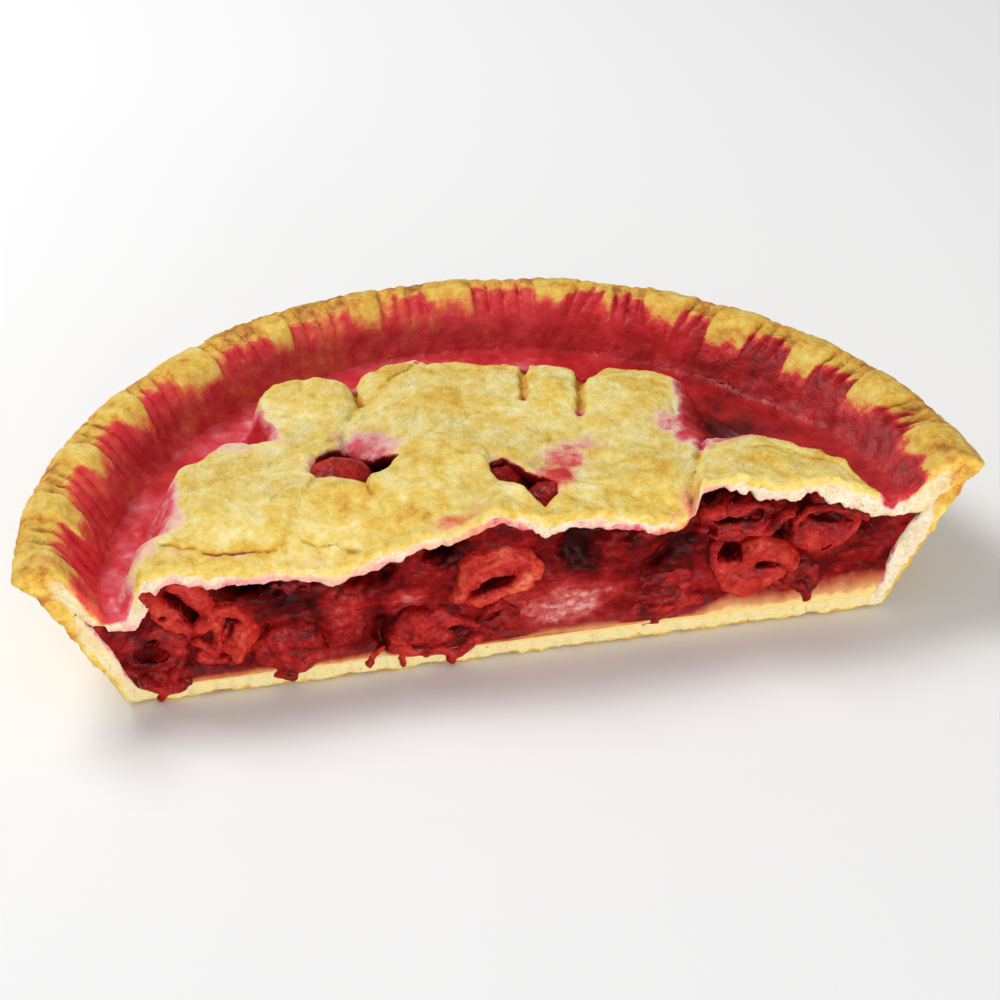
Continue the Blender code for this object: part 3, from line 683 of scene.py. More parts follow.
def lid_field(x, y, z, fine=False):
    top, under = lid_top(x, y) - crack_depth(x, y), lid_under(x, y)
    radius, angle = polar(x, y)
    above, below = (z - top) * 0.8, (under - z) * 0.85
    if fine:
        above = above - 0.8 * fine_bumps(x, y, z)
        below = below - 0.5 * fine_bumps(x, y, z)
    body = larger(above, below, 0.9)
    body = larger(body, radius - wall_radius(z) - 0.6 + LIP_RISE * lip(angle), 1.2)
    body = larger(body, cut_plane(x, z) - y, 0.9)
    return larger(body, -opening_field(x, y, z), 2.2)


def wall_thickness(x, y, z):
    """The bottom crust's, which WALL_AT_CUT makes larger near the cut."""
    return CRUST + straight(WALL_AT_CUT, x) * smooth((z - 8.0) / 10.0) * smooth((8.0 - y) / 4.0)


def shell_field(x, y, z, fine=False):
    """The bottom crust: base, wall and the lower half of the rim."""
    radius, angle = polar(x, y)
    outside = (radius - wall_radius(np.clip(z, 0.0, None))) * 0.88
    lumps = 0.35 * rough(x, y, z, 9.0, 71, 2) + 0.6 * rough(x, y, z, 3.4, 73, 2) * smooth((9 - y) / 9)
    if fine:
        lumps = lumps + 1.2 * fine_bumps(x, y, z)
    ragged = 0.8 * smooth((6.0 - y) / 6.0) * (0.3 + rough(x, 0.0, 0.0, 9.0, 75, 3))
    base = np.maximum(ragged, 0.0) - z
    body = larger(outside + lumps * smooth(z / 3.0), base, 1.0)
    cavity = larger((radius - wall_radius(z) + wall_thickness(x, y, z) + 0.3) * 0.88, CRUST - z, 3.0)
    body = larger(body, -(cavity + 0.5 * lumps), 0.8)
    body = larger(body, (z - seam_height(radius, angle) - 1.0) * 0.8, 0.7)
    return larger(body, cut_plane(x, z) - y, 0.9)


# --- From fields to meshes -------------------------------------------------------------------


def grid_steps(low, high, step, growth=1.0):
    """Places from low to high. With growth over 1, each step is that much longer than the last."""
    places = [low]
    while places[-1] < high:
        places.append(places[-1] + step)
        step = min(step * growth, LONGEST_STEP)
    return np.array(places)


def net(values):
    """Surface nets: points, in grid units, and quads on the zero level of a sampled field."""
    inside = values < 0
    cells = np.zeros(np.array(values.shape) - 1, np.int8)
    offsets = [(i, j, k) for i in (0, 1) for j in (0, 1) for k in (0, 1)]
    for i, j, k in offsets:
        cells += inside[i : i + cells.shape[0], j : j + cells.shape[1], k : k + cells.shape[2]]
    busy = np.argwhere((cells > 0) & (cells < 8))
    corners = {o: values[tuple((busy + o).T)] for o in offsets}
    total, count = np.zeros(busy.shape), np.zeros(len(busy))
    for start in offsets:
        for axis in range(3):
            if start[axis]:
                continue
            end = tuple(1 if n == axis else s for n, s in enumerate(start))
            a, b = corners[start], corners[end]
            crossing = (a < 0) != (b < 0)
            share = np.where(crossing, a / np.where(crossing, a - b, 1.0), 0.0)
            point = np.tile(np.array(start, float), (len(busy), 1))
            point[:, axis] = share
            total += point * crossing[:, None]
            count += crossing
    points = busy + total / count[:, None]
    number = np.full(cells.shape, -1, np.int64)
    number[tuple(busy.T)] = np.arange(len(busy))
    quads = []
    for axis in range(3):
        u, v = (axis + 1) % 3, (axis + 2) % 3
        low = np.take(inside, range(values.shape[axis] - 1), axis)
        high = np.take(inside, range(1, values.shape[axis]), axis)
        edges = np.argwhere(low != high)
        edges = edges[(edges[:, u] > 0) & (edges[:, v] > 0)]
        edges = edges[(edges[:, u] < values.shape[u] - 1) & (edges[:, v] < values.shape[v] - 1)]
        step_u, step_v = np.eye(3, dtype=int)[u], np.eye(3, dtype=int)[v]
        round_edge = [edges - step_u - step_v, edges - step_v, edges, edges - step_u]
        quad = np.stack([number[tuple(cell.T)] for cell in round_edge], axis=1)
        outward = low[tuple(edges.T)]
        quads.append(np.where(outward[:, None], quad, quad[:, ::-1]))
    return points, np.concatenate(quads)


def solid(field, xs, ys, zs):
    """Points and quads of the surface of a field, the points moved onto the exact surface."""
    values = field(xs[:, None, None], ys[None, :, None], zs[None, None, :])
    values = np.broadcast_to(values, (len(xs), len(ys), len(zs))).astype(np.float32)
    spots, quads = net(values)
    points = np.stack(
        [np.interp(spots[:, n], np.arange(len(s)), s) for n, s in enumerate((xs, ys, zs))], axis=1
    )
    reach = 0.6 * (xs[1] - xs[0])
    slope = slope_at(field, points)
    slope = slope / np.maximum((slope**2).sum(1, keepdims=True), 0.05)
    for _ in range(2):
        step = field(*points.T, fine=True)[:, None] * slope
        length = np.linalg.norm(step, axis=1, keepdims=True)
        points = points - step * np.minimum(1.0, reach / np.maximum(length, 1e-9))
    return points, quads


def slope_at(field, points, h=0.15):
    here = field(*points.T, fine=True)
    return np.stack([(field(*(points + h * e).T, fine=True) - here) / h for e in np.eye(3)], axis=1)


def piece(name, points, quads, masks, material, nodes=(), keep=1.0):
    """A smooth mesh object that rides on the pie, with its masks as attributes.

    keep is the share of its triangles that stays: what is flat loses most of them.
    """
    mesh = bpy.data.meshes.new(name)
    mesh.vertices.add(len(points))
    placed = (points + [0.0, CUT_Y, 0.0]) * MM
    mesh.vertices.foreach_set("co", placed.astype(np.float32).ravel())
    mesh.loops.add(quads.size)
    mesh.loops.foreach_set("vertex_index", quads.astype(np.int32).ravel())
    mesh.polygons.add(len(quads))
    mesh.polygons.foreach_set("loop_start", np.arange(0, quads.size, 4, dtype=np.int32))
    mesh.update(calc_edges=True)
    mesh.validate()
    obj = bpy.data.objects.new(name, mesh)
    bpy.context.scene.collection.objects.link(obj)
    if keep < 1.0:
        mesh = thinned(obj, keep)
        obj.data = mesh
    mesh.shade_smooth()
    placed = np.empty(3 * len(mesh.vertices), np.float32)
    mesh.vertices.foreach_get("co", placed)
    places = placed.reshape(-1, 3).astype(float) / MM - [0.0, CUT_Y, 0.0]
    for key, values in masks(places).items():
        attribute = mesh.attributes.new(key, "FLOAT", "POINT")
        values = np.broadcast_to(values, len(places))
        attribute.data.foreach_set("value", np.ascontiguousarray(values, np.float32))
    mesh.materials.append(material)
    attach(obj, "root")
    if nodes:
        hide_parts(*nodes)
    return obj


def thinned(obj, keep):
    modifier = obj.modifiers.new("thin", "DECIMATE")
    modifier.ratio = keep
    shown = obj.evaluated_get(bpy.context.evaluated_depsgraph_get())
    mesh = bpy.data.meshes.new_from_object(shown)
    obj.modifiers.clear()
    return mesh


# --- Materials -------------------------------------------------------------------------------


class Shader:
    """A material with a Principled BSDF, and short ways to add the nodes that feed it."""

    def __init__(self, name, **values):
        self.material = bpy.data.materials.new(name)
        self.material.use_nodes = True
        self.tree = self.material.node_tree
        self.bsdf = self.tree.nodes["Principled BSDF"]
        for key, value in values.items():
            self.bsdf.inputs[key.replace("_", " ")].default_value = value

    def link(self, target, key, value):
        socket = target.inputs[key]
        if isinstance(value, bpy.types.NodeSocket):
            self.tree.links.new(value, socket)
        elif isinstance(value, tuple) and len(value) == 3 and socket.type == "RGBA":
            socket.default_value = (*value, 1.0)
        else:
            socket.default_value = value

    def add(self, kind, **inputs):
        """A new node, with its inputs linked or set."""
        node = self.tree.nodes.new("ShaderNode" + kind)
        for key, value in inputs.items():
            self.link(node, key.replace("_", " "), value)
        return node

    def mask(self, name):
        node = self.add("Attribute")
        node.attribute_name = name
        return node.outputs["Fac"]

    def grain(self, size, detail=3.0, roughness=0.55, distortion=0.0, stretch=(1, 1, 1)):
        """Noise with features of this size in millimetres, 0 to 1."""
        place = self.add("Mapping", Vector=self.add("TexCoord").outputs["Object"], Scale=stretch)
        node = self.add(
            "TexNoise", Vector=place.outputs["Vector"], Scale=1.0 / (size * MM), Detail=detail,
            Roughness=roughness, Distortion=distortion,
        )
        return node.outputs["Fac"]

    def math(self, operation, a, b=0.0):
        node = self.add("Math")
        node.operation = operation
        self.link(node, 0, a)
        self.link(node, 1, b)
        return node.outputs[0]

    def between(self, value, low, high):
        """0 where the value is at low, 1 at high, with a soft S between."""
        node = self.add("MapRange", Value=value, From_Min=low, From_Max=high)
        node.interpolation_type = "SMOOTHSTEP"
        return node.outputs["Result"]

    def mix(self, share, a, b):
        node = self.add("Mix")
        node.data_type = "RGBA"
        self.link(node, 0, share)
        self.link(node, 6, a)
        self.link(node, 7, b)
        return node.outputs[2]

    def mix_value(self, share, a, b):
        node = self.add("Mix")
        self.link(node, 0, share)
        self.link(node, 2, a)
        self.link(node, 3, b)
        return node.outputs[0]

    def ramp(self, value, *stops):
        node = self.add("ValToRGB")
        elements = node.color_ramp.elements
        while len(elements) < len(stops):
            elements.new(0.5)
        for element, (place, colour) in zip(elements, stops):
            element.position = place
            element.color = (*colour, 1.0)
        self.link(node, 0, value)
        return node.outputs[0]

    def bump(self, height, depth_mm, under=None):
        node = self.add("Bump", Strength=1.0, Distance=depth_mm * MM, Height=height)
        if under is not None:
            self.link(node, "Normal", under)
        return node.outputs[0]

    def set(self, key, value):
        self.link(self.bsdf, key, value)


def varied(s, value, *noises):
    """A value with noises of (size in mm, strength) added to it."""
    for size, strength in noises:
        offset = s.math("MULTIPLY", s.math("SUBTRACT", s.grain(size), 0.5), strength)
        value = s.math("ADD", value, offset)
    return value


PINK = ((0.84, 0.60, 0.46), (0.78, 0.34, 0.32), (0.68, 0.11, 0.14))


def juice_colour(s, depth, *thin):
    """Red juice, from a stain where it is thin, in three given colours, to dark red."""
    stain = tuple(zip((0.0, 0.15, 0.29), thin))
    return s.ramp(
        depth, *stain, (0.44, (0.60, 0.032, 0.040)), (0.58, (0.50, 0.016, 0.020)),
        (0.75, (0.36, 0.008, 0.010)), (1.0, (0.11, 0.003, 0.004)),
    )


def crust_material():
    """Pastry: golden skin, cream dough where it is cut, and red where juice has soaked in."""
    s = Shader("baked_crust", Specular_IOR_Level=0.2)
    crumb = s.grain(0.8, 3, 0.6)
    # The skin's browning mask also holds painted shade in the cracks, the fork's grooves and near the cut.
    toast_and_shade = varied(s, s.mask("brown_and_shade"), (9.0, 0.7), (3.6, 1.0), (1.3, 0.45))
    skin = s.ramp(
        toast_and_shade, (0.0, (0.85, 0.74, 0.38)), (0.18, (0.82, 0.65, 0.22)), (0.4, (0.76, 0.53, 0.10)),
        (0.6, (0.70, 0.39, 0.052)), (0.78, (0.54, 0.22, 0.035)), (1.0, (0.28, 0.085, 0.015)),
    )
    dough = s.ramp(
        varied(s, crumb, (5.0, 0.8)), (0.25, (0.66, 0.47, 0.24)), (0.5, (0.75, 0.63, 0.43)),
        (0.75, (0.82, 0.76, 0.63)),
    )
    soaked = s.between(varied(s, s.mask("soak"), (7.0, 0.6), (2.0, 0.5)), 0.2, 1.0)
    dough = s.mix(soaked, dough, (0.78, 0.64, 0.29))
    raw = varied(s, s.mask("inner"), (2.2, 0.8), (0.7, 0.5))
    colour = s.mix(s.between(raw, 0.3, 0.8), skin, dough)
    uneven = varied(s, 1.0, (6.0, 0.9), (2.2, 1.0), (0.9, 0.5))
    wet = s.math("MULTIPLY", s.mask("juice"), uneven)
    depth = s.math("MULTIPLY", s.between(wet, 0.1, 0.85), varied(s, s.mask("deep"), (9.0, 0.4), (3.0, 0.5)))
    orange = juice_colour(s, depth, (0.78, 0.46, 0.12), (0.74, 0.25, 0.06), (0.66, 0.085, 0.05))
    rose = juice_colour(s, depth, *PINK)
    colour = s.mix(s.between(wet, 0.08, 0.42), colour, s.mix(s.mask("rose"), orange, rose))
    s.set("Base Color", colour)
    s.set("Roughness", s.mix_value(s.between(wet, 0.4, 0.7), 0.55, 0.43))
    dry = s.math("SUBTRACT", 1.0, s.math("MULTIPLY", s.between(wet, 0.3, 0.6), 0.6))
    relief = s.bump(s.math("MULTIPLY", crumb, dry), 0.3)
    relief = s.bump(s.math("MULTIPLY", s.grain(2.6, 4, 0.6), dry), 0.8, relief)
    wrinkled = s.math("MULTIPLY", s.grain(3.5, 4, 0.6, 0.5), s.between(wet, 0.4, 0.7))
    s.set("Normal", s.bump(wrinkled, 0.45, relief))
    return s.material


def gel_material():
    """Set juice: dark and clear, hazy pink where it is full of bubbles, tan over the base, with painted
    shade in its hollows and under the openings.
    """
    s = Shader(
        "cherry_gel", Roughness=0.34, Subsurface_Weight=0.25, Subsurface_Scale=0.003,
        Subsurface_Radius=(1.0, 0.12, 0.08), Specular_IOR_Level=0.05,
    )
    swirl = s.grain(6, 4, 0.6, 1.5, (0.5, 1, 1.2))
    value = varied(s, s.math("ADD", s.mask("haze_and_shade"), s.math("MULTIPLY", swirl, 0.7)), (2.0, 0.4), (0.8, 0.2))
    colour = s.ramp(
        value, (0.15, (0.02, 0.0006, 0.001)), (0.38, (0.10, 0.0016, 0.002)), (0.58, (0.22, 0.005, 0.005)),
        (0.78, (0.36, 0.022, 0.020)), (0.95, (0.50, 0.12, 0.11)), (1.0, (0.60, 0.27, 0.25)),
    )
    soaked = varied(s, s.mask("soak"), (3.0, 0.5))
    tan = s.ramp(
        soaked, (0.2, (0.24, 0.014, 0.009)), (0.45, (0.40, 0.08, 0.035)), (0.8, (0.60, 0.27, 0.10)),
        (1.0, (0.80, 0.58, 0.21)),
    )
    s.set("Base Color", s.mix(s.between(soaked, 0.05, 0.4), colour, tan))
    sparkle = s.math("MULTIPLY", s.grain(0.7, 2, 0.7), s.between(s.mask("haze_and_shade"), 0.5, 1.0))
    s.set("Normal", s.bump(s.grain(1.8, 3, 0.5), 0.35, s.bump(sparkle, 0.5)))
    return s.material


def flesh_material():
    """Cooked cherry: dark skin, orange-red flesh where it is torn, with painted shade in the pits and
    further behind the cut.
    """
    s = Shader(
        "cherry_flesh", Roughness=0.28, Subsurface_Weight=0.25, Subsurface_Scale=0.002,
        Subsurface_Radius=(1.0, 0.15, 0.08), Specular_IOR_Level=0.13,
    )
    fibre = s.grain(2.2, 4, 0.6, 0.8, (1, 1, 1.3))
    value = s.math("ADD", s.mask("flesh"), s.math("MULTIPLY", fibre, 0.7))
    value = varied(s, value, (5.0, 0.8), (1.2, 0.3))
    colour = s.ramp(
        value, (0.15, (0.05, 0.001, 0.002)), (0.36, (0.17, 0.003, 0.003)), (0.56, (0.34, 0.009, 0.008)),
        (0.74, (0.47, 0.026, 0.015)), (0.9, (0.56, 0.075, 0.034)), (1.0, (0.66, 0.17, 0.08)),
    )
    s.set("Base Color", colour)
    s.set("Normal", s.bump(fibre, 0.45, s.bump(s.grain(0.8, 3, 0.6), 0.12)))
    return s.material


def syrup_material():
    """Juice that lies in the moat."""
    s = Shader(
        "cherry_juice", Roughness=0.34, Subsurface_Weight=0.1, Subsurface_Scale=0.002,
        Subsurface_Radius=(1.0, 0.1, 0.08), Specular_IOR_Level=0.2,
    )
    deep = varied(s, s.mask("deep"), (9.0, 0.4), (3.0, 0.4))
    s.set("Base Color", juice_colour(s, deep, *PINK))
    s.set("Normal", s.bump(s.grain(3.5, 4, 0.6, 0.5), 0.35))
    return s.material


# --- Pieces ----------------------------------------------------------------------------------


def wetness(x, y):
    """How far inside the red a place of the lid is, from 0 on bare crust to 1."""
    radius, angle = polar(x, y)
    pressed, grooved, _ = press(angle, radius)
    outer = eased(JUICE_LINE, angle) + 4.4 * pressed + 4.0 * grooved
    outer = outer + 1.8 * rough(x, y, 0.0, 5.0, 81, 2)
    inner = dome_edge(angle) + eased(RED_START, angle) * dome_side(angle)
    inner = inner + 1.5 * rough(x, y, 0.0, 7.0, 83, 2)
    from_dome = smooth(0.5 + (radius - inner) / eased(RED_EDGE, angle))
    return np.minimum(from_dome, smooth(0.5 + (outer - radius) / 8.5))


def deepness(x, y):
    """How dark the juice on the lid is, from 0 to 1: darkest on the slope at the back and right."""
    radius, angle = polar(x, y)
    back = smooth((135.0 - angle) / 60.0)
    slope = np.exp(-(((radius - 103.0) / 4.5) ** 2))
    at_dome = 0.08 * np.exp(-(((radius - dome_edge(angle) - 3.0) / 4.0) ** 2))
    uneven = 0.14 * rough(x, y, 0.0, 13.0, 87, 2) + 0.08 * noise(x, y, 0.0, 4.0, 89)
    # Painted shade of the hollow beside the dome's right side makes it darker, and paler, thinner juice lies
    # beside it.
    hollow_shade_and_pale_juice = 0.6 * blobs(x, y, PAINTED_HOLLOW_SHADE) - 0.3 * blobs(x, y, PALE_PLACE)
    return eased(DARK_JUICE, angle) + 0.07 * back * slope - at_dome + uneven + hollow_shade_and_pale_juice


def steepness(x, y, step=0.4):
    """How steep the lid's outer surface is."""
    here = lid_top(x, y)
    return np.hypot(lid_top(x + step, y) - here, lid_top(x, y + step) - here) / step


def lid_masks(points):
    x, y, z = points.T
    radius, angle = polar(x, y)
    cracks = crack_depth(x, y)
    depth = (lid_top(x, y) - cracks - z) / np.sqrt(1.0 + steepness(x, y) ** 2)
    on_dome = smooth((dome_edge(angle) - radius) / 3.0)
    cut_away = y - cut_plane(x, z)
    over_cut = lid_under(x, y) + PINK_REACH + 1.2 * rough(x, y, z, 4.0, 95, 2)
    low = smooth((over_cut - z) / 3.6) * (radius < 103)
    stained = blobs(x, y, STAINS) * (1.0 + 0.35 * rough(x, y, z, 5.0, 91, 3))
    surface = np.maximum(wetness(x, y), stained) * smooth((3.0 - depth) / 2.6)
    under_edge = eased(PINK_EDGE, x) * low * smooth((depth - 0.6) / 1.4)
    # Inside the vents and the tear the lid's walls are darkest red: juice stain, with painted shade of the
    # gap under the lid's edge.
    opening_juice_and_shade = smooth((2.5 - opening_field(x, y, z)) / 1.5) * smooth((depth - 0.6) / 0.9)
    juice = np.maximum.reduce([surface, under_edge, opening_juice_and_shade])
    juice = juice * np.where((depth < 2.0) | (radius < 106), 1.0, 0.0)
    deep = np.maximum(deepness(x, y) * (1.0 - 0.35 * on_dome), 1.1 * opening_juice_and_shade)
    pressed, grooved, _ = press(angle, radius)
    rim = smooth((radius - 104) / 7.0)
    # Browner here: in the fork's grooves and presses and in the cracks and slits, partly browning and partly
    # painted shade in these hollows; near the cut, painted shade on the slopes that face it.
    brown_and_shade = 0.24 + 0.10 * bulges(x, y) * (1 - rim) + blobs(x, y, TOASTED) + 0.08 * near_cut(y)
    brown_and_shade = brown_and_shade + rim * (eased(RIM_BROWN, angle) + 0.12 * grooved - 0.10 * (1 - pressed))
    brown_and_shade = brown_and_shade - 0.12 * creases(x, y) * on_dome + 0.4 * on_dome * smooth(cracks / 1.5)
    brown_and_shade = brown_and_shade + 0.12 * smooth((radius - dome_edge(angle) + 4.0) / 4.0) * (1 - rim)
    at_cut = smooth((2.6 - cut_away) / 1.4) * smooth((118.0 - radius) / 9.0)
    at_cut = at_cut * (1.0 - 0.35 * smooth((radius - 99.0) / 8.0))
    skin = np.where(y < 5.0, eased(SKIN_AT_CUT, x), SKIN)
    inner = smooth((depth - skin) / 1.2) * np.where(radius < 95, 1.0, at_cut)
    rose = smooth((102.0 - radius) / 4.0) * (1.0 - blobs(x, y, ORANGE))
    soak = 0.5 * smooth((radius - 97.0) / 8.0)
    return {"juice": juice, "deep": deep, "brown_and_shade": brown_and_shade, "inner": inner, "soak": soak, "rose": rose}


def build_lid(material):
    xs = grid_steps(-RIM_RADIUS - MARGIN, RIM_RADIUS + MARGIN, LID_STEP)
    ys = grid_steps(-MARGIN, RIM_RADIUS + MARGIN, LID_STEP)
    zs = grid_steps(18.0, 52.0, LID_STEP)
    points, quads = solid(lid_field, xs, ys, zs)
    piece("lid", points, quads, lid_masks, material, ["top_crust"], keep=0.66)


def shell_masks(points):
    x, y, z = points.T
    radius, _ = polar(x, y)
    from_outside = np.minimum(wall_radius(z) - radius, 1.5 * z)
    inner = smooth((from_outside - 0.8 + 0.9 * rough(x, y, z, 3.0, 101, 2)) / 1.6)
    inner = inner * smooth((112.0 - radius) / 6.0) * (1.0 - 0.25 * smooth((-x - 85.0) / 8.0))
    from_inside = radius - wall_radius(z) + wall_thickness(x, y, z)
    inside_wall = smooth((z - 5.5) / 3.0) * smooth((1.6 - from_inside) / 1.8)
    juice = 0.42 * inside_wall * smooth(0.7 + 0.6 * rough(x, y, z, 6.0, 103, 2))
    juice = np.maximum(juice, 0.5 * smooth((z - 4.0) / 1.0) * (radius < 96) * smooth((y - 1.5) / 2.0))
    yellow = np.maximum(0.85 * smooth((99.0 - radius) / 6.0), 0.6 * (x < 0))
    brown_and_shade = 0.46 + 0.15 * rough(x, y, z, 10.0, 105, 2) + 0.2 * smooth((z - 28) / 8.0)
    return {"juice": juice, "deep": 0.5, "brown_and_shade": brown_and_shade, "inner": inner, "soak": yellow, "rose": 1.0}


def build_shell(material):
    xs = grid_steps(-RIM_RADIUS - MARGIN, RIM_RADIUS + MARGIN, SHELL_STEP)
    ys = grid_steps(-MARGIN, RIM_RADIUS + MARGIN, SHELL_STEP)
    zs = grid_steps(-1.6, 45.0, SHELL_STEP)
    points, quads = solid(shell_field, xs, ys, zs)
    points[:, 2] = np.maximum(points[:, 2], 0.0)
    piece("shell", points, quads, shell_masks, material, ["bottom_crust"], keep=0.8)


def syrup_field(x, y, z, fine=False):
    """The juice in the moat: a pool, lower at the cut, that runs out gently onto the crust."""
    radius, angle = polar(x, y)
    top = lid_top(x, y)
    ripple = 0.15 * noise(x, y, 0.0, 10.0, 85) + 0.35 * film(x, y)
    level = juice_level(angle) + ripple - SYRUP_FALL * smooth((FALL_REACH - y) / FALL_REACH)
    surface = larger(top - 0.5, level, 2.6)
    body = larger((z - surface) * 0.9, top - 1.4 - z, 0.3)
    body = np.maximum(body, np.maximum(dome_edge(angle) - 4.0 - radius, radius - 108.0))
    body = larger(body, 1.0 - opening_field(x, y, z), 0.8)
    return larger(body, 0.4 - y + 0.5 * cut_plane(x, z), 0.8)


def syrup_masks(points):
    x, y, _ = points.T
    # Lighter towards the cut, where the juice is thinner: partly its own colour, partly painted light
    # shining through its thin edge.
    return {"deep": deepness(x, y) - 0.25 * smooth((4.0 - y) / 4.0)}


def build_syrup(material):
    xs = grid_steps(-110.0, 110.0, SYRUP_STEP)
    ys = grid_steps(-1.5, 110.0, SYRUP_STEP)
    zs = grid_steps(24.0, 42.0, THIN_STEP)
    points, quads = solid(syrup_field, xs, ys, zs)
    piece("moat_syrup", points, quads, syrup_masks, material, ["moat_juice"], keep=0.7)


def cherry_ball(node):
    """A cherry's middle and half sizes. What shows in an opening has swollen up into it."""
    low, high = (np.array(corner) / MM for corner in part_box(node))
    low[1] -= CUT_Y
    high[1] -= CUT_Y
    raised, grown = TORN[node]["swollen"]
    return (low + high) / 2 + [0, 0, raised], (high - low) / 2 * grown


def cherry_bounds(node, margin=2.6):
    """The box that holds a cherry with its folds."""
    centre, size = cherry_ball(node)
    low, high = centre - size - margin, centre + size + margin
    for line, radius, back in TORN[node]["folds"]:
        for across, height in line:
            end = np.array([across, back, height])
            low = np.minimum(low, end - radius - margin)
            high = np.maximum(high, end + radius + margin)
    low[2] = max(low[2], 0.3)
    return low, high


def from_ball(x, y, z, centre, size):
    """Negative inside an ellipsoid with these half sizes."""
    scaled = ((x - centre[0]) / size[0]) ** 2 + ((y - centre[1]) / size[1]) ** 2
    return (np.sqrt(scaled + ((z - centre[2]) / size[2]) ** 2) - 1.0) * size.min()


def from_pit(x, y, z, row):
    """Negative inside a hollow that opens at the cut."""
    across, height, wide, tall, turn, deep = row
    c, s = math.cos(math.radians(turn)), math.sin(math.radians(turn))
    along, up = c * (x - across) + s * (z - height), c * (z - height) - s * (x - across)
    size = np.array([wide, deep, tall])
    return from_ball(along, y, up, (0.0, 0.0, 0.0), size)


def from_fold(x, y, z, row):
    """Negative inside a lip of flesh."""
    line, radius, back = row
    nearest = np.inf
    for a, b in zip(line, line[1:]):
        nearest = np.minimum(nearest, from_line(x, z, a, b))
    return np.hypot(nearest, 0.8 * (y - back)) - radius


def gel_front(x, z):
    """How far behind the cut the gel's face lies."""
    dents = 1.3 + 1.1 * rough(x, 0.0, z, 8.0, 121, 2) + 0.4 * rough(x, 0.0, 2 * z, 3.0, 125, 2)
    from_wall = wall_radius(z) - CRUST - np.abs(x)
    spread = 0.45 * smooth((7.5 - z) / 2.5)
    return 0.25 - spread + np.maximum(dents, 0.0) * smooth((z - 6.0) / 5.0) * smooth(from_wall / 9.0)


def gel_field(x, y, z, fine=False):
    """The filling, hollowed at the cut and round the cherries' pits. It has no finer detail."""
    radius, _ = polar(x, y)
    top = lid_under(x, y) + 0.3
    body = larger((z - top) * 0.9, CRUST - 1.3 - z, 0.5)
    body = larger(body, (radius - wall_radius(z) + wall_thickness(x, y, z) - 0.3) * 0.88, 0.5)
    body = larger(body, gel_front(x, z) - y, 1.5)
    bent_x, bent_z = x + 1.6 * rough(x, y, z, 5.0, 123, 2), z + 1.2 * rough(x, y, z, 4.0, 127, 2)
    for row in HOLLOWS:
        body = larger(body, -from_pit(bent_x, y, bent_z, row), 2.2)
    body = larger(body, -larger(opening_field(x, y, z) - 1.0, 33.0 - z, 1.0), 1.0)
    for node in CHERRIES:
        centre, size = cherry_ball(node)
        front = TORN[node]["front"]
        covered = from_ball(x, y, z, centre, size - (2.5 if front is None else 0.5))
        if front is not None:
            covered = larger(covered, front + 1.0 - y, 1.5)
        body = smaller(body, covered, 1.8)
    for node in CHERRIES:
        for row in TORN[node]["pits"]:
            body = larger(body, -from_pit(x, y, z, row), 0.6)
    return body


def gel_masks(points):
    x, y, z = points.T
    haze_and_shade = 0.13 + 0.20 * rough(x, y, z, 9.0, 131, 3)
    haze_and_shade = haze_and_shade + 0.42 * blobs(x, z, HAZE) - 0.35 * blobs(x, z, DARK_GEL_AND_HOLLOW_SHADE)
    # Painted shade: the gel is darker further behind the cut and under the vents and the tear.
    haze_and_shade = haze_and_shade - 0.05 * np.clip(y - 2.0, 0, 12) - 0.3 * smooth(1.0 - opening_field(x, y, z) / 3.0)
    soak = 1.2 - (z - CRUST + 0.6) / np.maximum(straight(SOAKED, x) - CRUST, 0.8)
    return {"haze_and_shade": haze_and_shade, "soak": soak * smooth((9.0 - y) / 5.0)}


def build_gel(material):
    xs = grid_steps(-112.0, 112.0, GEL_STEP)
    ys = grid_steps(-3.0, 110.0, THIN_STEP, GEL_GROWTH)
    zs = grid_steps(3.5, 46.0, GEL_STEP)
    points, quads = solid(gel_field, xs, ys, zs)
    piece("gel", points, quads, gel_masks, material, ["filling"], keep=0.7)


def cherry_field(node, seed):
    centre, size = cherry_ball(node)
    torn = TORN[node]

    def field(x, y, z, fine=False):
        bent = [c + 1.1 * noise(x, y, z, 7.0, seed + n) for n, c in enumerate((x, y, z))]
        body = from_ball(*bent, centre, size)
        for row in torn["folds"]:
            body = smaller(body, from_fold(*bent, row), 1.0)
        if torn["front"] is not None:
            rough_cut = 0.8 * rough(x, 0.3 * y, z, 4.5, seed + 3, 2)
            body = larger(body, torn["front"] + rough_cut - y, 1.6)
            for row in torn["folds"]:
                body = smaller(body, from_fold(*bent, row) + 0.25, 0.7)
        for row in torn["pits"]:
            body = larger(body, -from_pit(*bent, row), 0.7)
        wrinkles = 0.32 * rough(x, y, 1.5 * z, 3.2, seed + 5, 3)
        return body + wrinkles

    return field


def build_cherries(material):
    for number, node in enumerate(CHERRIES):
        torn = TORN[node]
        axes = [grid_steps(a, b, CHERRY_STEP) for a, b in zip(*cherry_bounds(node))]
        points, quads = solid(cherry_field(node, 200 + 11 * number), *axes)

        def masks(places):
            x, y, z = places.T
            front = torn["front"] if torn["front"] is not None else np.inf
            flesh = 0.30 * torn["tone"] + 0.16 * noise(x, y, z, 6.0, 300 + number)
            for row in torn["folds"]:
                flesh = flesh + 0.10 * torn["tone"] * smooth((0.8 - from_fold(x, y, z, row)) / 1.6)
            # Painted shade: the flesh is darker in the pits and further behind the cut face.
            for row in torn["pits"]:
                flesh = flesh - 0.28 * smooth((1.2 - from_pit(x, y - 1.0, z, row)) / 2.0)
            return {"flesh": flesh - 0.045 * np.clip(y - front, 0, 12)}

        name = "fruit_" + node[-2:]
        piece(name, points, quads, masks, material, [node])


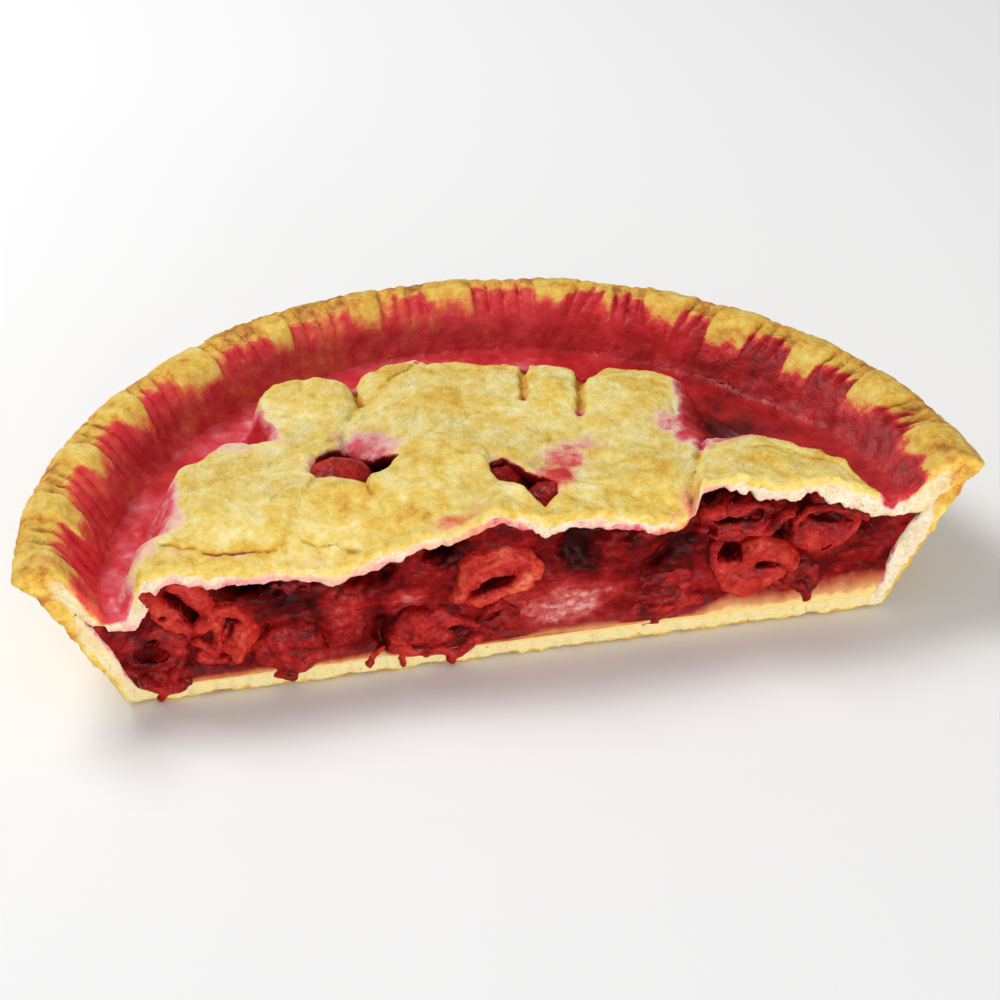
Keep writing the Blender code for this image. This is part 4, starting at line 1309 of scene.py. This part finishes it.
# --- Stage -----------------------------------------------------------------------------------


def build_floor():
    bpy.ops.mesh.primitive_plane_add(size=6.0, location=(0, 0, -0.0002))
    floor = bpy.context.object
    floor.name = "floor"
    s = Shader("floor_white", Roughness=0.9, Base_Color=(0.9, 0.9, 0.9, 1.0))
    floor.data.materials.append(s.material)


def add_light(name, place, width, height, power, target=(0, 0, 0.02)):
    light = bpy.data.lights.new(name, "AREA")
    light.shape = "RECTANGLE"
    light.size, light.size_y = width, height
    light.energy = power
    obj = bpy.data.objects.new(name, light)
    obj.location = place
    obj.rotation_euler = (Vector(target) - Vector(place)).to_track_quat("-Z", "Y").to_euler()
    bpy.context.scene.collection.objects.link(obj)


def build_lights():
    world = bpy.data.worlds.new("soft_white")
    world.use_nodes = True
    world.node_tree.nodes["Background"].inputs["Color"].default_value = (1, 1, 1, 1)
    world.node_tree.nodes["Background"].inputs["Strength"].default_value = 0.40
    bpy.context.scene.world = world
    add_light("key", (-0.5, 0.4, 0.9), 0.45, 0.45, 8.3)
    add_light("fill", (0.25, -1.1, 0.16), 1.0, 0.24, 10.0)


def build_camera():
    """The camera looks down at the cut, from a little to the left."""
    azimuth, elevation, distance = math.radians(-11.88), math.radians(34.72), 0.5927
    target = Vector((0.0062, 0.050 + CUT_Y * MM, 0.0130))
    away = Vector((
        math.sin(azimuth) * math.cos(elevation), -math.cos(azimuth) * math.cos(elevation),
        math.sin(elevation),
    ))
    camera = bpy.data.cameras.new("camera")
    camera.sensor_width = 36.0
    camera.lens = 79.2
    obj = bpy.data.objects.new("camera", camera)
    obj.location = target + away * distance
    obj.rotation_euler = (-away).to_track_quat("-Z", "Y").to_euler()
    bpy.context.scene.collection.objects.link(obj)
    bpy.context.scene.camera = obj


def main():
    bpy.context.scene.view_settings.view_transform = "Standard"
    crust = crust_material()
    build_lid(crust)
    build_shell(crust)
    build_syrup(syrup_material())
    build_gel(gel_material())
    build_cherries(flesh_material())
    build_floor()
    build_lights()
    build_camera()


main()
